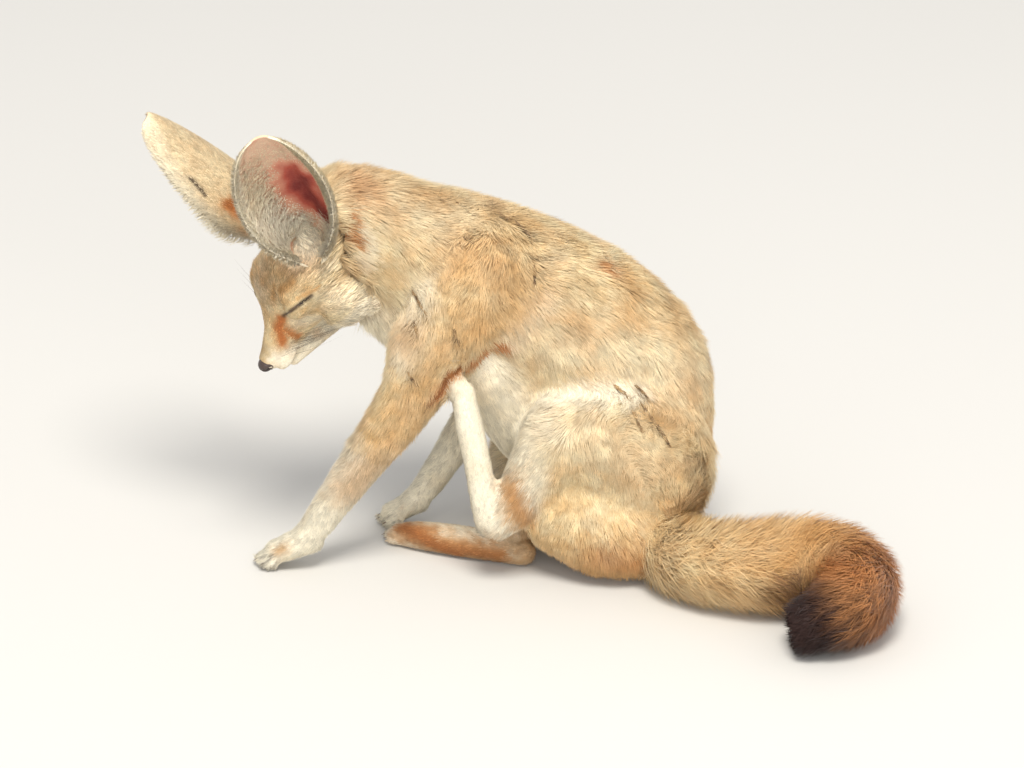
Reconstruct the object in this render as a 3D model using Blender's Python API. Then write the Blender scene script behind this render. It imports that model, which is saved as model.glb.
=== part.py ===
"""Fennec fox, life size, sitting on its right hip and scratching behind its elbow with its left hind foot.

Lengths in the tables are centimetres, and the objects are in metres. The fox looks along -X with its left
side towards -Y, and the floor is z = 0. The origin is on the floor under the rump.
"""

import math

import bmesh
import bpy
import numpy as np
from mathutils import Matrix, Vector
from mathutils.bvhtree import BVHTree

for old in list(bpy.data.objects):
    bpy.data.objects.remove(old)

CM = 0.01
GAP = 0.0003
CLEARANCE = 1.1 * GAP
ACROSS = Vector((0, 1, 0))
UPRIGHT = Vector((0, 0, 1))

# Driving sizes of the animal
HEAD_YAW = 38.0
HEAD_PITCH = 52.0
HEAD_ROLL = 9.0
HEAD_SIZE = 1.08
NOSE_TIP = (-19.75, 0.0, 13.35)
EAR_LENGTH = 9.5
EAR_THICKNESS = 0.32
EAR_LEAN = 0.9
EAR_SETBACK = 1.4
RIM_THINNING = 0.75
LIP_HALF_WIDTH = 0.62
LIP_SPREAD = 0.36
LIMB_MARGIN = 0.25
LID_CENTRE = (-4.1, 1.75, 1.15)
LID_RADII = (1.05, 0.72, 0.72)

# The brush of the tail: its locks, where they are parted between nodes, and the core they grow from
LOCK_LENGTH = 3.9
LOCK_WIDTH = 2.3
LOCK_THICKNESS = 0.17
LOCK_SPACING = 1.75
LOCK_LEAD = 0.55
LOCK_TAPER = (1.0, 1.0, 0.85, 0.6)
LOCK_LENGTHS = (0.92, 1.08)
LOCK_WIDTHS = (0.9, 1.1)
LOCK_PUFFS = (0.93, 1.04)
LOCK_TURN = 0.12
LOCK_TWIST = 0.25
TIP_MARGINS = (0.05, 0.7)
ROOT_MARGIN = 1.4
TAIL_SPLITS = (5.4, 13.2)
TAIL_BEYOND = 1.35
TAIL_RINGS = ((6, LOCK_SPACING), (8, LOCK_SPACING), (8, 1.3 * LOCK_SPACING))
BEND_LIMIT = 0.9
BEND_CORE = 0.35
CORE_SHARE = 0.46
CORE_ROWS = 18
LOCK_SEED = 7

# Where trunk and limbs are parted: a point of the plane, and the way to the second part
CUTS = {
    "waist": ((-2.4, 3.7, 13.7), (0.62, 0, -0.78)),
    "neck": ((-12.6, 3.1, 20.2), (-0.85, -0.1, 0.5)),
    "hip_left": ((0, 1.2, 8), (0, -1, 0)),
    "hip_right": ((0, 5.3, 5), (0, 1, 0)),
    "knee_left": ((-3.4, -1.0, 7.4), (-0.95, 0, -0.3)),
    "heel_right": ((-4.6, 1.7, 1.2), (-0.6, -0.8, 0)),
    "elbow_left": ((-10.3, 0.2, 13.0), (-0.45, 0, -0.9)),
    "elbow_right": ((-4.9, 6.3, 12.2), (-0.2, 0, -0.98)),
    "wrist_left": ((-16.9, 0.2, 2.9), (-0.5, 0, -0.87)),
    "wrist_right": ((-10.4, 5.4, 2.6), (-0.5, 0, -0.87)),
}

# One row is x, y, z, half width across the body, half depth. A row's path runs from trunk to tip.
SPINE = [
    (0.8, 3.0, 3.4, 4.3, 4.6),
    (1.7, 3.0, 7.2, 4.5, 5.15),
    (0.7, 3.4, 11.0, 4.3, 6.1),
    (-2.0, 3.7, 14.2, 4.2, 5.8),
    (-5.0, 3.8, 16.4, 4.2, 5.1),
    (-8.2, 3.7, 17.8, 4.2, 4.9),
    (-11.0, 3.4, 19.1, 4.0, 4.6),
    (-13.4, 3.0, 20.6, 3.7, 4.0),
    (-15.4, 2.7, 21.3, 3.4, 3.6),
    (-16.6, 2.2, 20.6, 3.0, 3.2),
]
BREAST = [(-7.6, 3.5, 13.4, 3.2, 3.0), (-9.8, 3.4, 15.0, 3.2, 3.2), (-12.2, 3.0, 17.4, 3.0, 3.2)]
BELLY = [(-1.5, 3.2, 6.5, 3.6, 3.6), (-3.8, 3.5, 9.6, 3.7, 3.8), (-6.0, 3.6, 12.6, 3.6, 3.6)]
FORELEG_LEFT = [
    (-6.8, 1.4, 20.0, 1.8, 2.7),
    (-8.7, 0.7, 17.4, 2.1, 3.3),
    (-10.0, 0.3, 14.2, 1.8, 2.7),
    (-11.2, 0.1, 11.4, 1.5, 2.0),
    (-13.6, 0.0, 7.7, 1.25, 1.6),
    (-16.1, 0.1, 3.9, 1.1, 1.3),
    (-17.2, 0.2, 2.2, 1.15, 1.1),
]
FORELEG_RIGHT = [
    (-6.6, 6.0, 18.6, 1.8, 2.8),
    (-5.4, 6.5, 15.6, 2.0, 2.6),
    (-4.8, 6.4, 12.6, 1.7, 2.0),
    (-6.0, 6.0, 9.6, 1.35, 1.6),
    (-8.0, 5.6, 6.4, 1.15, 1.35),
    (-9.9, 5.4, 3.2, 1.0, 1.15),
    (-10.8, 5.4, 1.9, 1.0, 1.05),
]
THIGH_LEFT = [
    (2.4, 1.4, 5.0, 3.6, 4.6),
    (1.7, 0.7, 8.0, 3.4, 4.9),
    (-0.4, -0.3, 9.6, 2.8, 3.8),
    (-2.6, -1.1, 10.2, 2.0, 2.2),
]
HAUNCH_LEFT = [(2.4, 0.2, 2.6, 3.4, 2.9), (0.2, -0.3, 3.0, 3.1, 3.1), (-2.4, -0.4, 4.4, 2.3, 3.0)]
SHANK_LEFT = [
    (-2.5, -1.0, 9.8, 1.9, 2.0),
    (-3.7, -1.3, 7.2, 1.7, 2.0),
    (-5.2, -1.7, 4.9, 1.2, 1.4),
    (-6.1, -1.9, 3.6, 0.85, 1.0),
]
FOOT_LEFT = [
    (-6.5, -1.9, 3.7, 0.75, 0.9),
    (-6.8, -1.9, 5.6, 0.8, 0.95),
    (-7.2, -1.7, 8.0, 0.85, 0.9),
    (-7.7, -1.4, 10.4, 1.0, 0.9),
    (-8.0, -1.2, 12.2, 0.9, 0.75),
]
THIGH_RIGHT = [
    (3.0, 4.6, 4.6, 3.6, 4.4),
    (0.6, 6.2, 4.8, 3.0, 4.2),
    (-2.4, 7.2, 4.4, 2.4, 3.4),
    (-4.8, 7.4, 3.4, 1.9, 2.4),
]
SHANK_RIGHT = [(-4.8, 7.0, 2.8, 1.7, 1.7), (-4.8, 4.4, 2.0, 1.5, 1.5), (-4.8, 1.4, 1.5, 1.1, 1.1)]
FOOT_RIGHT = [
    (-4.4, 0.6, 0.8, 0.95, 1.0),
    (-6.4, 1.1, 0.9, 0.95, 1.05),
    (-8.8, 1.9, 0.9, 1.0, 1.05),
    (-10.8, 2.8, 0.7, 1.05, 0.9),
    (-12.0, 3.4, 0.5, 0.9, 0.7),
]
TOES_LEFT = ((-8.15, -1.1, 12.7), (-0.1, 0.1, 1.0), (0.9, -0.4, 0.1), 0.5)
TOES_RIGHT = ((-12.3, 3.5, 0.4), (-0.9, 0.42, -0.1), (0.42, 0.9, 0.0), 0.5)
TAIL = [
    (3.2, 0.6, 2.2, 2.5, 2.5),
    (5.0, -2.6, 2.2, 2.75, 2.75),
    (7.1, -4.0, 2.5, 2.85, 2.85),
    (9.6, -4.7, 2.8, 3.0, 3.0),
    (12.4, -4.9, 2.9, 3.1, 3.1),
    (14.4, -6.1, 2.8, 3.0, 3.0),
    (14.7, -8.1, 2.6, 2.75, 2.75),
    (13.4, -9.7, 2.3, 2.4, 2.4),
    (11.9, -10.1, 1.8, 1.8, 1.8),
]


def added(name, mesh):
    """A new object in the scene with that mesh."""
    obj = bpy.data.objects.new(name, mesh)
    bpy.context.scene.collection.objects.link(obj)
    return obj


def object_of(name, bm):
    """A new object from an edited mesh, which is used up."""
    mesh = bpy.data.meshes.new(name)
    bm.to_mesh(mesh)
    bm.free()
    return added(name, mesh)


def mesh_object(name, points, faces):
    mesh = bpy.data.meshes.new(name)
    mesh.from_pydata([tuple(p) for p in points], [], faces)
    mesh.validate()
    return added(name, mesh)


def faced_outwards(obj):
    bm = bmesh.new()
    bm.from_mesh(obj.data)
    bmesh.ops.recalc_face_normals(bm, faces=bm.faces[:])
    bm.to_mesh(obj.data)
    bm.free()
    return obj


def smooth_rows(rows, steps):
    """Catmull-Rom rows through the given ones, with steps spans between each two."""
    rows = np.array(rows, float)
    padded = np.vstack([2 * rows[0] - rows[1], rows, 2 * rows[-1] - rows[-2]])
    made = []
    for i in range(len(rows) - 1):
        a, b, c, d = padded[i : i + 4]
        for t in np.arange(steps) / steps:
            bend, twist = 2 * a - 5 * b + 4 * c - d, 3 * b - a - 3 * c + d
            made.append(0.5 * (2 * b + (c - a) * t + bend * t**2 + twist * t**3))
    made.append(rows[-1])
    return np.array(made)


def loft(name, rows, across=ACROSS, sides=18, steps=3, dome=0.8):
    """A closed tube with elliptical sections through the rows, with domed ends."""
    rows = smooth_rows(rows, steps)
    centres = rows[:, :3] * CM
    halves = rows[:, 3:5] * CM
    tangents = np.gradient(centres, axis=0)
    rings = []
    cap = np.radians([75, 50, 25])
    for at, sign, angles in ((0, -1, cap), (None, 0, [0]), (-1, 1, cap[::-1])):
        picks = range(len(rows)) if at is None else [at]
        for i in picks:
            t = Vector(tangents[i]).normalized()
            side = (across - across.dot(t) * t).normalized()
            other = t.cross(side)
            for angle in angles:
                centre = Vector(centres[i]) + t * sign * math.sin(angle) * dome * halves[i].mean()
                shrink = math.cos(angle)
                rings.append(
                    [
                        centre
                        + side * math.cos(k) * halves[i][0] * shrink
                        + other * math.sin(k) * halves[i][1] * shrink
                        for k in np.arange(sides) * 2 * math.pi / sides
                    ]
                )
    points = [p for ring in rings for p in ring]
    faces = []
    for r in range(len(rings) - 1):
        for k in range(sides):
            a, b = r * sides + k, r * sides + (k + 1) % sides
            faces.append((a, b, b + sides, a + sides))
    faces.append(tuple(reversed(range(sides))))
    faces.append(tuple(range(len(points) - sides, len(points))))
    return mesh_object(name, points, faces)


def ellipsoid(name, centre, radii, axes=Matrix.Identity(3), segments=20):
    """An ellipsoid at centre, its radii along the columns of axes, all in centimetres."""
    bm = bmesh.new()
    bmesh.ops.create_uvsphere(bm, u_segments=segments, v_segments=segments // 2 + 2, radius=1.0)
    stretch = axes @ Matrix.Diagonal(Vector(radii) * CM)
    bm.transform(Matrix.Translation(Vector(centre) * CM) @ stretch.to_4x4())
    return object_of(name, bm)


def applied(obj):
    """The object with its modifiers applied."""
    graph = bpy.context.evaluated_depsgraph_get()
    mesh = bpy.data.meshes.new_from_object(obj.evaluated_get(graph))
    obj.modifiers.clear()
    obj.data = mesh
    return obj


def joined(name, pieces):
    points, faces = [], []
    for piece in pieces:
        start = len(points)
        points += [piece.matrix_world @ v.co for v in piece.data.vertices]
        faces += [tuple(start + i for i in p.vertices) for p in piece.data.polygons]
        bpy.data.objects.remove(piece)
    return mesh_object(name, points, faces)


def fused(name, pieces, voxel, smoothing, triangles):
    """The pieces as one smooth skin of about that many triangles."""
    obj = joined(name, pieces)
    remesh = obj.modifiers.new("skin", "REMESH")
    remesh.mode = "VOXEL"
    remesh.voxel_size = voxel * CM
    smooth = obj.modifiers.new("smooth", "SMOOTH")
    smooth.factor = 0.5
    smooth.iterations = smoothing
    applied(obj)
    found = sum(len(p.vertices) - 2 for p in obj.data.polygons)
    thin = obj.modifiers.new("thin", "DECIMATE")
    thin.ratio = min(1.0, triangles / found)
    thin.use_collapse_triangulate = True
    return applied(obj)


def boolean(obj, other, operation):
    """Cuts, joins or crosses the object with the other, which is used up."""
    cut = obj.modifiers.new("cut", "BOOLEAN")
    cut.operation = operation
    cut.object = other
    cut.solver = "EXACT"
    applied(obj)
    bpy.data.objects.remove(other)
    return obj


def copy_of(obj, name):
    return added(name, obj.data.copy())


def swollen(obj, by):
    """A copy whose surface stands out by a fixed distance."""
    twin = copy_of(obj, obj.name + "_swollen")
    push = twin.modifiers.new("push", "DISPLACE")
    push.mid_level = 0
    push.strength = by
    return applied(twin)


def largest_body(obj):
    """Keeps the largest closed surface. Surfaces that only meet at a corner are apart."""
    bm = bmesh.new()
    bm.from_mesh(obj.data)
    bmesh.ops.triangulate(bm, faces=bm.faces[:])
    left = set(bm.faces)
    islands = []
    while left:
        stack = [left.pop()]
        island = set(stack)
        while stack:
            for edge in stack.pop().edges:
                for face in edge.link_faces:
                    if face in left:
                        left.remove(face)
                        island.add(face)
                        stack.append(face)
        islands.append(island)

    def volume(island):
        return sum(f.verts[0].co.dot(f.verts[1].co.cross(f.verts[2].co)) for f in island)

    best = max(islands, key=volume)
    bmesh.ops.delete(bm, geom=[f for f in bm.faces if f not in best], context="FACES")
    bm.to_mesh(obj.data)
    bm.free()
    return obj


def box_beyond(point, normal, reach):
    """A box that fills one side of a plane, up to reach away."""
    bm = bmesh.new()
    bmesh.ops.create_cube(bm, size=2.0)
    turn = Vector(normal).to_track_quat("Z", "Y").to_matrix().to_4x4()
    lift = Matrix.Translation((0, 0, 1))
    bm.transform(Matrix.Translation(point) @ turn @ Matrix.Scale(reach, 4) @ lift)
    return object_of("half", bm)


def clear_of(obj, *others):
    """Cuts the node back so that it keeps the gap to the others."""
    for other in others:
        boolean(obj, swollen(other, CLEARANCE), "DIFFERENCE")
        if other.name.startswith("hull"):
            bpy.data.objects.remove(other)
    return largest_body(obj)


def hull_of(obj):
    """The convex hull of a node."""
    bm = bmesh.new()
    for v in obj.data.vertices:
        bm.verts.new(v.co)
    found = bmesh.ops.convex_hull(bm, input=bm.verts[:])
    inside = {v for v in found["geom_interior"] if isinstance(v, bmesh.types.BMVert)}
    bmesh.ops.delete(bm, geom=list(inside | {v for v in bm.verts if not v.link_faces}), context="VERTS")
    return object_of("hull", bm)


def carve(body, name, rows):
    """Takes the limb that follows the rows out of the body, as a node of its own, with the gap between."""
    inner = [(*row[:3], row[3] + LIMB_MARGIN, row[4] + LIMB_MARGIN) for row in rows]
    gap = GAP / CM
    outer = [(*row[:3], row[3] + gap, row[4] + gap) for row in inner]
    piece = boolean(copy_of(body, name), loft("region", inner, sides=14, steps=1), "INTERSECT")
    boolean(body, loft("region", outer, sides=14, steps=1, dome=0.81), "DIFFERENCE")
    largest_body(body)
    return largest_body(piece)


def split(obj, names, point, normal, reach=40.0):
    """Parts an object at a plane into two nodes, the second on the side that the normal points to."""
    point = Vector(point) * CM
    normal = Vector(normal).normalized()
    twin = copy_of(obj, names[1])
    obj.name = names[0]
    boolean(obj, box_beyond(point - normal * GAP / 2, normal, reach * CM), "DIFFERENCE")
    boolean(twin, box_beyond(point + normal * GAP / 2, -normal, reach * CM), "DIFFERENCE")
    return largest_body(obj), largest_body(twin)


def flat_sole(obj):
    """Ends a node at the floor."""
    boolean(obj, box_beyond(Vector((0, 0, 0)), (0, 0, -1), 0.5), "DIFFERENCE")
    return largest_body(obj)


def head_matrix():
    """The head's own frame: its origin at the nose, X forward, Y to the left and Z to the crown."""
    yaw, pitch, roll = (math.radians(a) for a in (HEAD_YAW, HEAD_PITCH, HEAD_ROLL))
    forward = Vector((-math.cos(pitch) * math.cos(yaw), -math.cos(pitch) * math.sin(yaw), -math.sin(pitch)))
    level = Vector((math.sin(yaw), -math.cos(yaw), 0))
    left = level * math.cos(roll) + forward.cross(level) * math.sin(roll)
    turn = Matrix((forward, left, forward.cross(left))).transposed()
    return Matrix.Translation(Vector(NOSE_TIP) * CM) @ turn.to_4x4() @ Matrix.Scale(HEAD_SIZE, 4)


HEAD = head_matrix()

# The head in its own frame, behind the nose: x, y, z, half width, half height
SKULL = [
    (-9.2, 0, 0.9, 2.0, 1.9),
    (-8.2, 0, 1.0, 2.7, 2.4),
    (-7.0, 0, 1.0, 3.1, 2.6),
    (-5.8, 0, 0.85, 3.1, 2.6),
    (-4.8, 0, 0.6, 2.75, 2.4),
    (-3.9, 0, 0.3, 2.1, 2.05),
    (-3.1, 0, 0.05, 1.5, 1.6),
    (-2.2, 0, -0.15, 1.1, 1.2),
    (-1.2, 0, -0.2, 0.85, 0.85),
    (-0.55, 0, -0.15, 0.62, 0.62),
]
EAR_PROFILE = [
    (-0.10, 160, 2.4),
    (0.02, 145, 2.9),
    (0.14, 126, 3.3),
    (0.28, 104, 3.4),
    (0.43, 85, 3.2),
    (0.58, 72, 2.95),
    (0.72, 64, 2.4),
    (0.84, 60, 1.8),
    (0.94, 56, 1.15),
    (1.00, 54, 0.5),
]
JAW = [
    (-6.6, 0, -2.1, 2.3, 1.2),
    (-5.2, 0, -2.15, 1.9, 1.0),
    (-3.8, 0, -2.0, 1.3, 0.75),
    (-2.4, 0, -1.75, 0.85, 0.5),
    (-1.2, 0, -1.45, 0.55, 0.36),
]
MOUTH = [(-0.35, -0.95), (-1.2, -1.05), (-2.2, -1.2), (-3.0, -1.25), (-3.6, -1.05)]
SLIT = [(-2.95, 1.9, 1.78), (-3.5, 2.13, 1.58), (-4.36, 2.41, 1.31), (-5.2, 2.2, 0.75)]
GROOVES = {"lips": (0.3, 0.03), "slit": (0.2, 0.03)}


def head_ellipsoid(name, centre, radii, tilt=0.0, segments=18):
    """An ellipsoid in the head's frame, its long axis raised by tilt degrees about the head's Y."""
    axes = Matrix.Rotation(-math.radians(tilt), 3, "Y")
    return ellipsoid(name, centre, radii, axes, segments)


def make_head():
    pieces = [loft("skull", SKULL, sides=24), loft("jaw", JAW, sides=20)]
    for side in (1, -1):
        pieces.append(head_ellipsoid("cheek", (-6.0, side * 2.1, -0.9), (2.2, 1.5, 1.9)))
        pieces.append(head_ellipsoid("jowl", (-6.6, side * 2.3, -2.1), (1.5, 1.3, 1.3)))
        pieces.append(head_ellipsoid("brow", (-4.4, side * 1.5, 1.75), (1.1, 0.9, 0.75), -20))
        pieces.append(head_ellipsoid("pad", (-1.3, side * 0.5, -0.65), (0.95, 0.5, 0.5)))
        pieces.append(head_ellipsoid("ear_root", (-7.1, side * 2.1, 2.1), (1.7, 1.6, 1.2)))
    return fused("head", pieces, voxel=0.11, smoothing=5, triangles=1300)


def eyelids(name, side, extra=0.0):
    """The closed lids of one eye, bulging over the eyeball. With extra, the socket they lie in."""
    x, y, z = LID_CENTRE
    radii = [r + extra for r in LID_RADII]
    return head_ellipsoid(name, (x, side * y, z), radii, segments=14)


def ear(name, base, tip_direction, facing):
    """A leaf-shaped cup, in the head's frame: where it starts, where its tip points and where it opens."""
    axis = Vector(tip_direction).normalized()
    front = Vector(facing)
    front = (front - front.dot(axis) * axis).normalized()
    side = front.cross(axis)
    across = np.linspace(-1, 1, 11)
    rows_inner, rows_outer = [], []
    for along, angle, half_arc in EAR_PROFILE:
        radius = half_arc / math.radians(angle)
        lean = EAR_LEAN * along**2
        back = Vector(base) + axis * along * EAR_LENGTH / HEAD_SIZE - front * (EAR_SETBACK - lean)
        centre = back + front * radius
        for rows, r in ((rows_inner, radius), (rows_outer, radius + EAR_THICKNESS)):
            row = []
            for v in across:
                a = v * math.radians(angle)
                edge = 1 - RIM_THINNING * abs(v) ** 6 if r > radius else 1
                r_here = radius + (r - radius) * edge
                row.append((centre + side * math.sin(a) * r_here - front * math.cos(a) * r_here) * CM)
            rows.append(row)
    n, m = len(across), len(EAR_PROFILE)
    points = [p for row in rows_inner + rows_outer for p in row]
    faces = []
    for i in range(m - 1):
        for j in range(n - 1):
            a = i * n + j
            faces.append((a, a + 1, a + n + 1, a + n))
            b = m * n + a
            faces.append((b, b + n, b + n + 1, b + 1))
    for i in range(m - 1):
        for j in (0, n - 1):
            a, b = i * n + j, m * n + i * n + j
            quad = (a, a + n, b + n, b)
            faces.append(quad if j == 0 else quad[::-1])
    for j in range(n - 1):
        for i in (0, m - 1):
            a, b = i * n + j, m * n + i * n + j
            quad = (a, b, b + 1, a + 1)
            faces.append(quad if i == 0 else quad[::-1])
    return faced_outwards(mesh_object(name, points, faces))


def swept(name, path, half_width, half_height):
    """A thin flat band along a path, for grooves: half_width lies across, half_height upright."""
    points, faces = [], []
    path = [Vector(p) * CM for p in path]
    for i, p in enumerate(path):
        t = (path[min(i + 1, len(path) - 1)] - path[max(i - 1, 0)]).normalized()
        up = (UPRIGHT - UPRIGHT.dot(t) * t).normalized()
        side = t.cross(up)
        for s, u in ((1, 1), (-1, 1), (-1, -1), (1, -1)):
            points.append(p + side * s * half_width * CM + up * u * half_height * CM)
    for i in range(len(path) - 1):
        for k in range(4):
            a, b = i * 4 + k, i * 4 + (k + 1) % 4
            faces.append((a, b, b + 4, a + 4))
    faces.append((3, 2, 1, 0))
    n = len(points)
    faces.append((n - 4, n - 3, n - 2, n - 1))
    return faced_outwards(mesh_object(name, points, faces))


def toes(tip, forward, across, width):
    """Four toes side by side, their middle two ahead."""
    forward, across = Vector(forward).normalized(), Vector(across).normalized()
    axes = Matrix((forward, across, forward.cross(across))).transposed()
    made = []
    for k, ahead in ((-1.5, -0.4), (-0.5, 0.0), (0.5, 0.0), (1.5, -0.4)):
        centre = Vector(tip) + across * k * width + forward * ahead
        made.append(ellipsoid("toe", centre, (width * 1.5, width * 0.62, width * 0.85), axes, 12))
    return made


def paw(name, wrist, toes, width):
    """A paw of a palm and four toes. wrist and toes are the ends of its middle line."""
    wrist, toes = Vector(wrist), Vector(toes)
    forward = (toes - wrist).normalized()
    flat = Vector((forward.x, forward.y, 0)).normalized()
    side = UPRIGHT.cross(flat)
    axes = Matrix((flat, side, UPRIGHT)).transposed()
    middle = wrist.lerp(toes, 0.5)
    ball = middle + flat * 0.3 + Vector((0, 0, -0.1))
    pieces = [
        loft("palm", [(*wrist, width * 0.82, width * 0.86), (*middle, width * 0.95, width * 0.72)]),
        ellipsoid("ball", ball, (width * 0.95, width * 0.9, width * 0.55), axes),
    ]
    for across, ahead in ((-1.5, -0.42), (-0.5, 0.0), (0.5, 0.05), (1.5, -0.4)):
        tip = toes + side * across * width * 0.46 + flat * ahead
        pieces.append(ellipsoid("toe", tip - flat * 0.15, (width * 0.62, width * 0.3, width * 0.42), axes))
    return fused(name, pieces, voxel=0.1, smoothing=3, triangles=300)


def fused_with(obj, locks):
    """One Boolean union of the node with its locks."""
    group = bpy.data.collections.new("locks")
    for lock in locks:
        bpy.context.scene.collection.objects.unlink(lock)
        group.objects.link(lock)
    union = obj.modifiers.new("union", "BOOLEAN")
    union.operation = "UNION"
    union.operand_type = "COLLECTION"
    union.collection = group
    union.solver = "EXACT"
    applied(obj)
    for lock in list(group.objects):
        bpy.data.objects.remove(lock)
    bpy.data.collections.remove(group)
    return largest_body(obj)


def blade(name, spine, lefts, rights, thick, normals):
    """A flat, tapered lock: a lens section at each point of its spine, and a pointed tip at the last.

    Both faces are split into triangles alike, so that they can't cross where the lock bends.
    """
    points, faces = [], []
    for p, left, right, t, n in zip(spine[:-1], lefts, rights, thick, normals):
        points += [left, p + n * t * 0.5, right, p - n * t * 0.5]
    points.append(spine[-1])
    stations = len(spine) - 1
    for i in range(stations - 1):
        for edge in (0, 2):
            for ridge in (1, 3):
                a, b = i * 4 + edge, i * 4 + ridge
                faces += [(a, b, b + 4), (a, b + 4, a + 4)]
    last = (stations - 1) * 4
    for k in range(4):
        faces.append((last + k, last + (k + 1) % 4, len(points) - 1))
    faces += [(0, 1, 3), (1, 2, 3)]
    return faced_outwards(mesh_object(name, points, faces))


class TailPath:
    """The tail's middle line as a function of the length along it, with the coat's radius and a frame."""

    def __init__(self, rows, beyond):
        fine = smooth_rows(rows, 12)
        step = np.linalg.norm(np.diff(fine[:, :3], axis=0), axis=1)
        self.at = np.concatenate([[0], np.cumsum(step)])
        self.length = self.at[-1] + beyond
        self.centre, self.coat, self.end = fine[:, :3], fine[:, 3], self.at[-1]
        self.heading = np.gradient(self.centre, self.at, axis=0)
        self.heading /= np.linalg.norm(self.heading, axis=1)[:, None]
        self.bend = np.gradient(self.heading, self.at, axis=0)

    def value(self, table, s):
        return np.array([np.interp(s, self.at, column) for column in table.T])

    def point(self, s, angle, height):
        """A point around the middle line. height 1 is the coat's surface."""
        heading = self.value(self.heading, s)
        heading /= np.linalg.norm(heading)
        middle = self.value(self.centre, s) + heading * max(0.0, s - self.end)
        side = np.cross([0, 0, 1], heading)
        side /= np.linalg.norm(side)
        out = side * math.cos(angle) + np.cross(heading, side) * math.sin(angle)
        reach = height * np.interp(s, self.at, self.coat)
        if s > self.end:
            reach *= math.sqrt(max(0.0, 1 - ((s - self.end) / (self.length - self.end)) ** 2))
        inward = float(np.dot(self.value(self.bend, s), out))
        if inward > 0:
            reach = min(reach, BEND_LIMIT / inward * (BEND_CORE + (1 - BEND_CORE) * height))
        return Vector(middle + out * reach) * CM, Vector(out)


def crosses_itself(obj):
    """Whether two faces of a lock that share no corner meet, as where it folds in a tight bend."""
    tree = BVHTree.FromPolygons([v.co for v in obj.data.vertices], [p.vertices for p in obj.data.polygons])
    for a, b in tree.overlap(tree):
        corners = set(obj.data.polygons[a].vertices) & set(obj.data.polygons[b].vertices)
        if a < b and not corners:
            return True
    return False


# A lock's outline: the share of its length, its height in the coat and its width
LOCK_SHAPE = ((0.0, 0.38, 0.55), (0.3, 0.66, 1.0), (0.6, 0.87, 0.85), (0.85, 0.98, 0.42), (1.0, 1.0, 0.0))


def tail_locks(path, start, stop, around, spacing, rng):
    """Locks rooted on the core from start to stop, in staggered rings, each under the tips of the last."""
    made = []
    rings = int(round((stop - start) / spacing + 0.5))
    step = (stop - start) / (rings - 0.5)
    for ring in range(rings):
        for k in range(around):
            root = start + (ring + 0.5 * (k % 2)) * step
            length = LOCK_LENGTH * rng.uniform(*LOCK_LENGTHS)
            length = min(length, path.length - rng.uniform(*TIP_MARGINS) - root)
            puff = rng.uniform(*LOCK_PUFFS)
            turned = k + 0.5 * (ring % 2) + rng.uniform(-LOCK_TURN, LOCK_TURN)
            angle = turned * 2 * math.pi / around
            twist = rng.uniform(-LOCK_TWIST, LOCK_TWIST)
            wide = LOCK_WIDTH * rng.uniform(*LOCK_WIDTHS)
            spine, lefts, rights, normals = [], [], [], []
            for t, height, width in LOCK_SHAPE:
                s, here = root + length * t, angle + twist * t * t
                height *= puff
                spread = width * wide / (2 * max(0.8, height * np.interp(s, path.at, path.coat)))
                trio = [path.point(s, here + turn * spread, height) for turn in (0, 1, -1)]
                low = min(p.z for p, out in trio) - 0.5 * LOCK_THICKNESS * CM
                lift = Vector((0, 0, max(0.0, -0.03 * CM - low)))
                spine.append(trio[0][0] + lift)
                lefts.append(trio[1][0] + lift)
                rights.append(trio[2][0] + lift)
                normals.append(trio[0][1])
            thick = [LOCK_THICKNESS * CM * share for share in LOCK_TAPER]
            lock = blade("lock", spine, lefts, rights, thick, normals)
            if crosses_itself(lock):
                bpy.data.objects.remove(lock)
            else:
                made.append(lock)
    return made


# Build

head = make_head()
lids = [eyelids("eyelids_left", 1), eyelids("eyelids_right", -1)]
ears = [
    ear("ear_left", (-6.9, 2.5, 2.7), (-0.47, 0.35, 1.0), (0.5, 0.8, 0.2)),
    ear("ear_right", (-6.9, -2.5, 2.7), (-0.18, -0.38, 1.0), (0.9, -0.5, 0.1)),
]
nose = fused(
    "nose",
    [
        head_ellipsoid("tip", (-0.3, 0, -0.1), (0.42, 0.42, 0.36)),
        head_ellipsoid("top", (-0.62, 0, 0.1), (0.4, 0.34, 0.26)),
        head_ellipsoid("wing", (-0.42, 0.25, -0.12), (0.3, 0.22, 0.26)),
        head_ellipsoid("wing", (-0.42, -0.25, -0.12), (0.3, 0.22, 0.26)),
    ],
    voxel=0.05,
    smoothing=3,
    triangles=180,
)
clear_of(head, nose)
for side in (1, -1):
    nostril = head_ellipsoid("nostril", (-0.16, side * 0.24, -0.14), (0.12, 0.09, 0.08), 0, 8)
    boolean(nose, nostril, "DIFFERENCE")
largest_body(nose)

# The lips part the jaw from the head along the line of the mouth, and the slit parts the lids
for side, lid in zip((1, -1), lids):
    lips = [(x, side * (LIP_HALF_WIDTH - LIP_SPREAD * x), z) for x, z in MOUTH]
    boolean(head, swept("lips", lips, *GROOVES["lips"]), "DIFFERENCE")
    slit = [(x, side * y, z) for x, y, z in SLIT]
    boolean(head, eyelids("socket", side, GAP / CM), "DIFFERENCE")
    boolean(lid, swept("slit", slit, *GROOVES["slit"]), "DIFFERENCE")
    largest_body(lid)
largest_body(head)
for obj in [head, nose] + lids + ears:
    obj.data.transform(HEAD)
for obj in ears:
    clear_of(obj, head)

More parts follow.
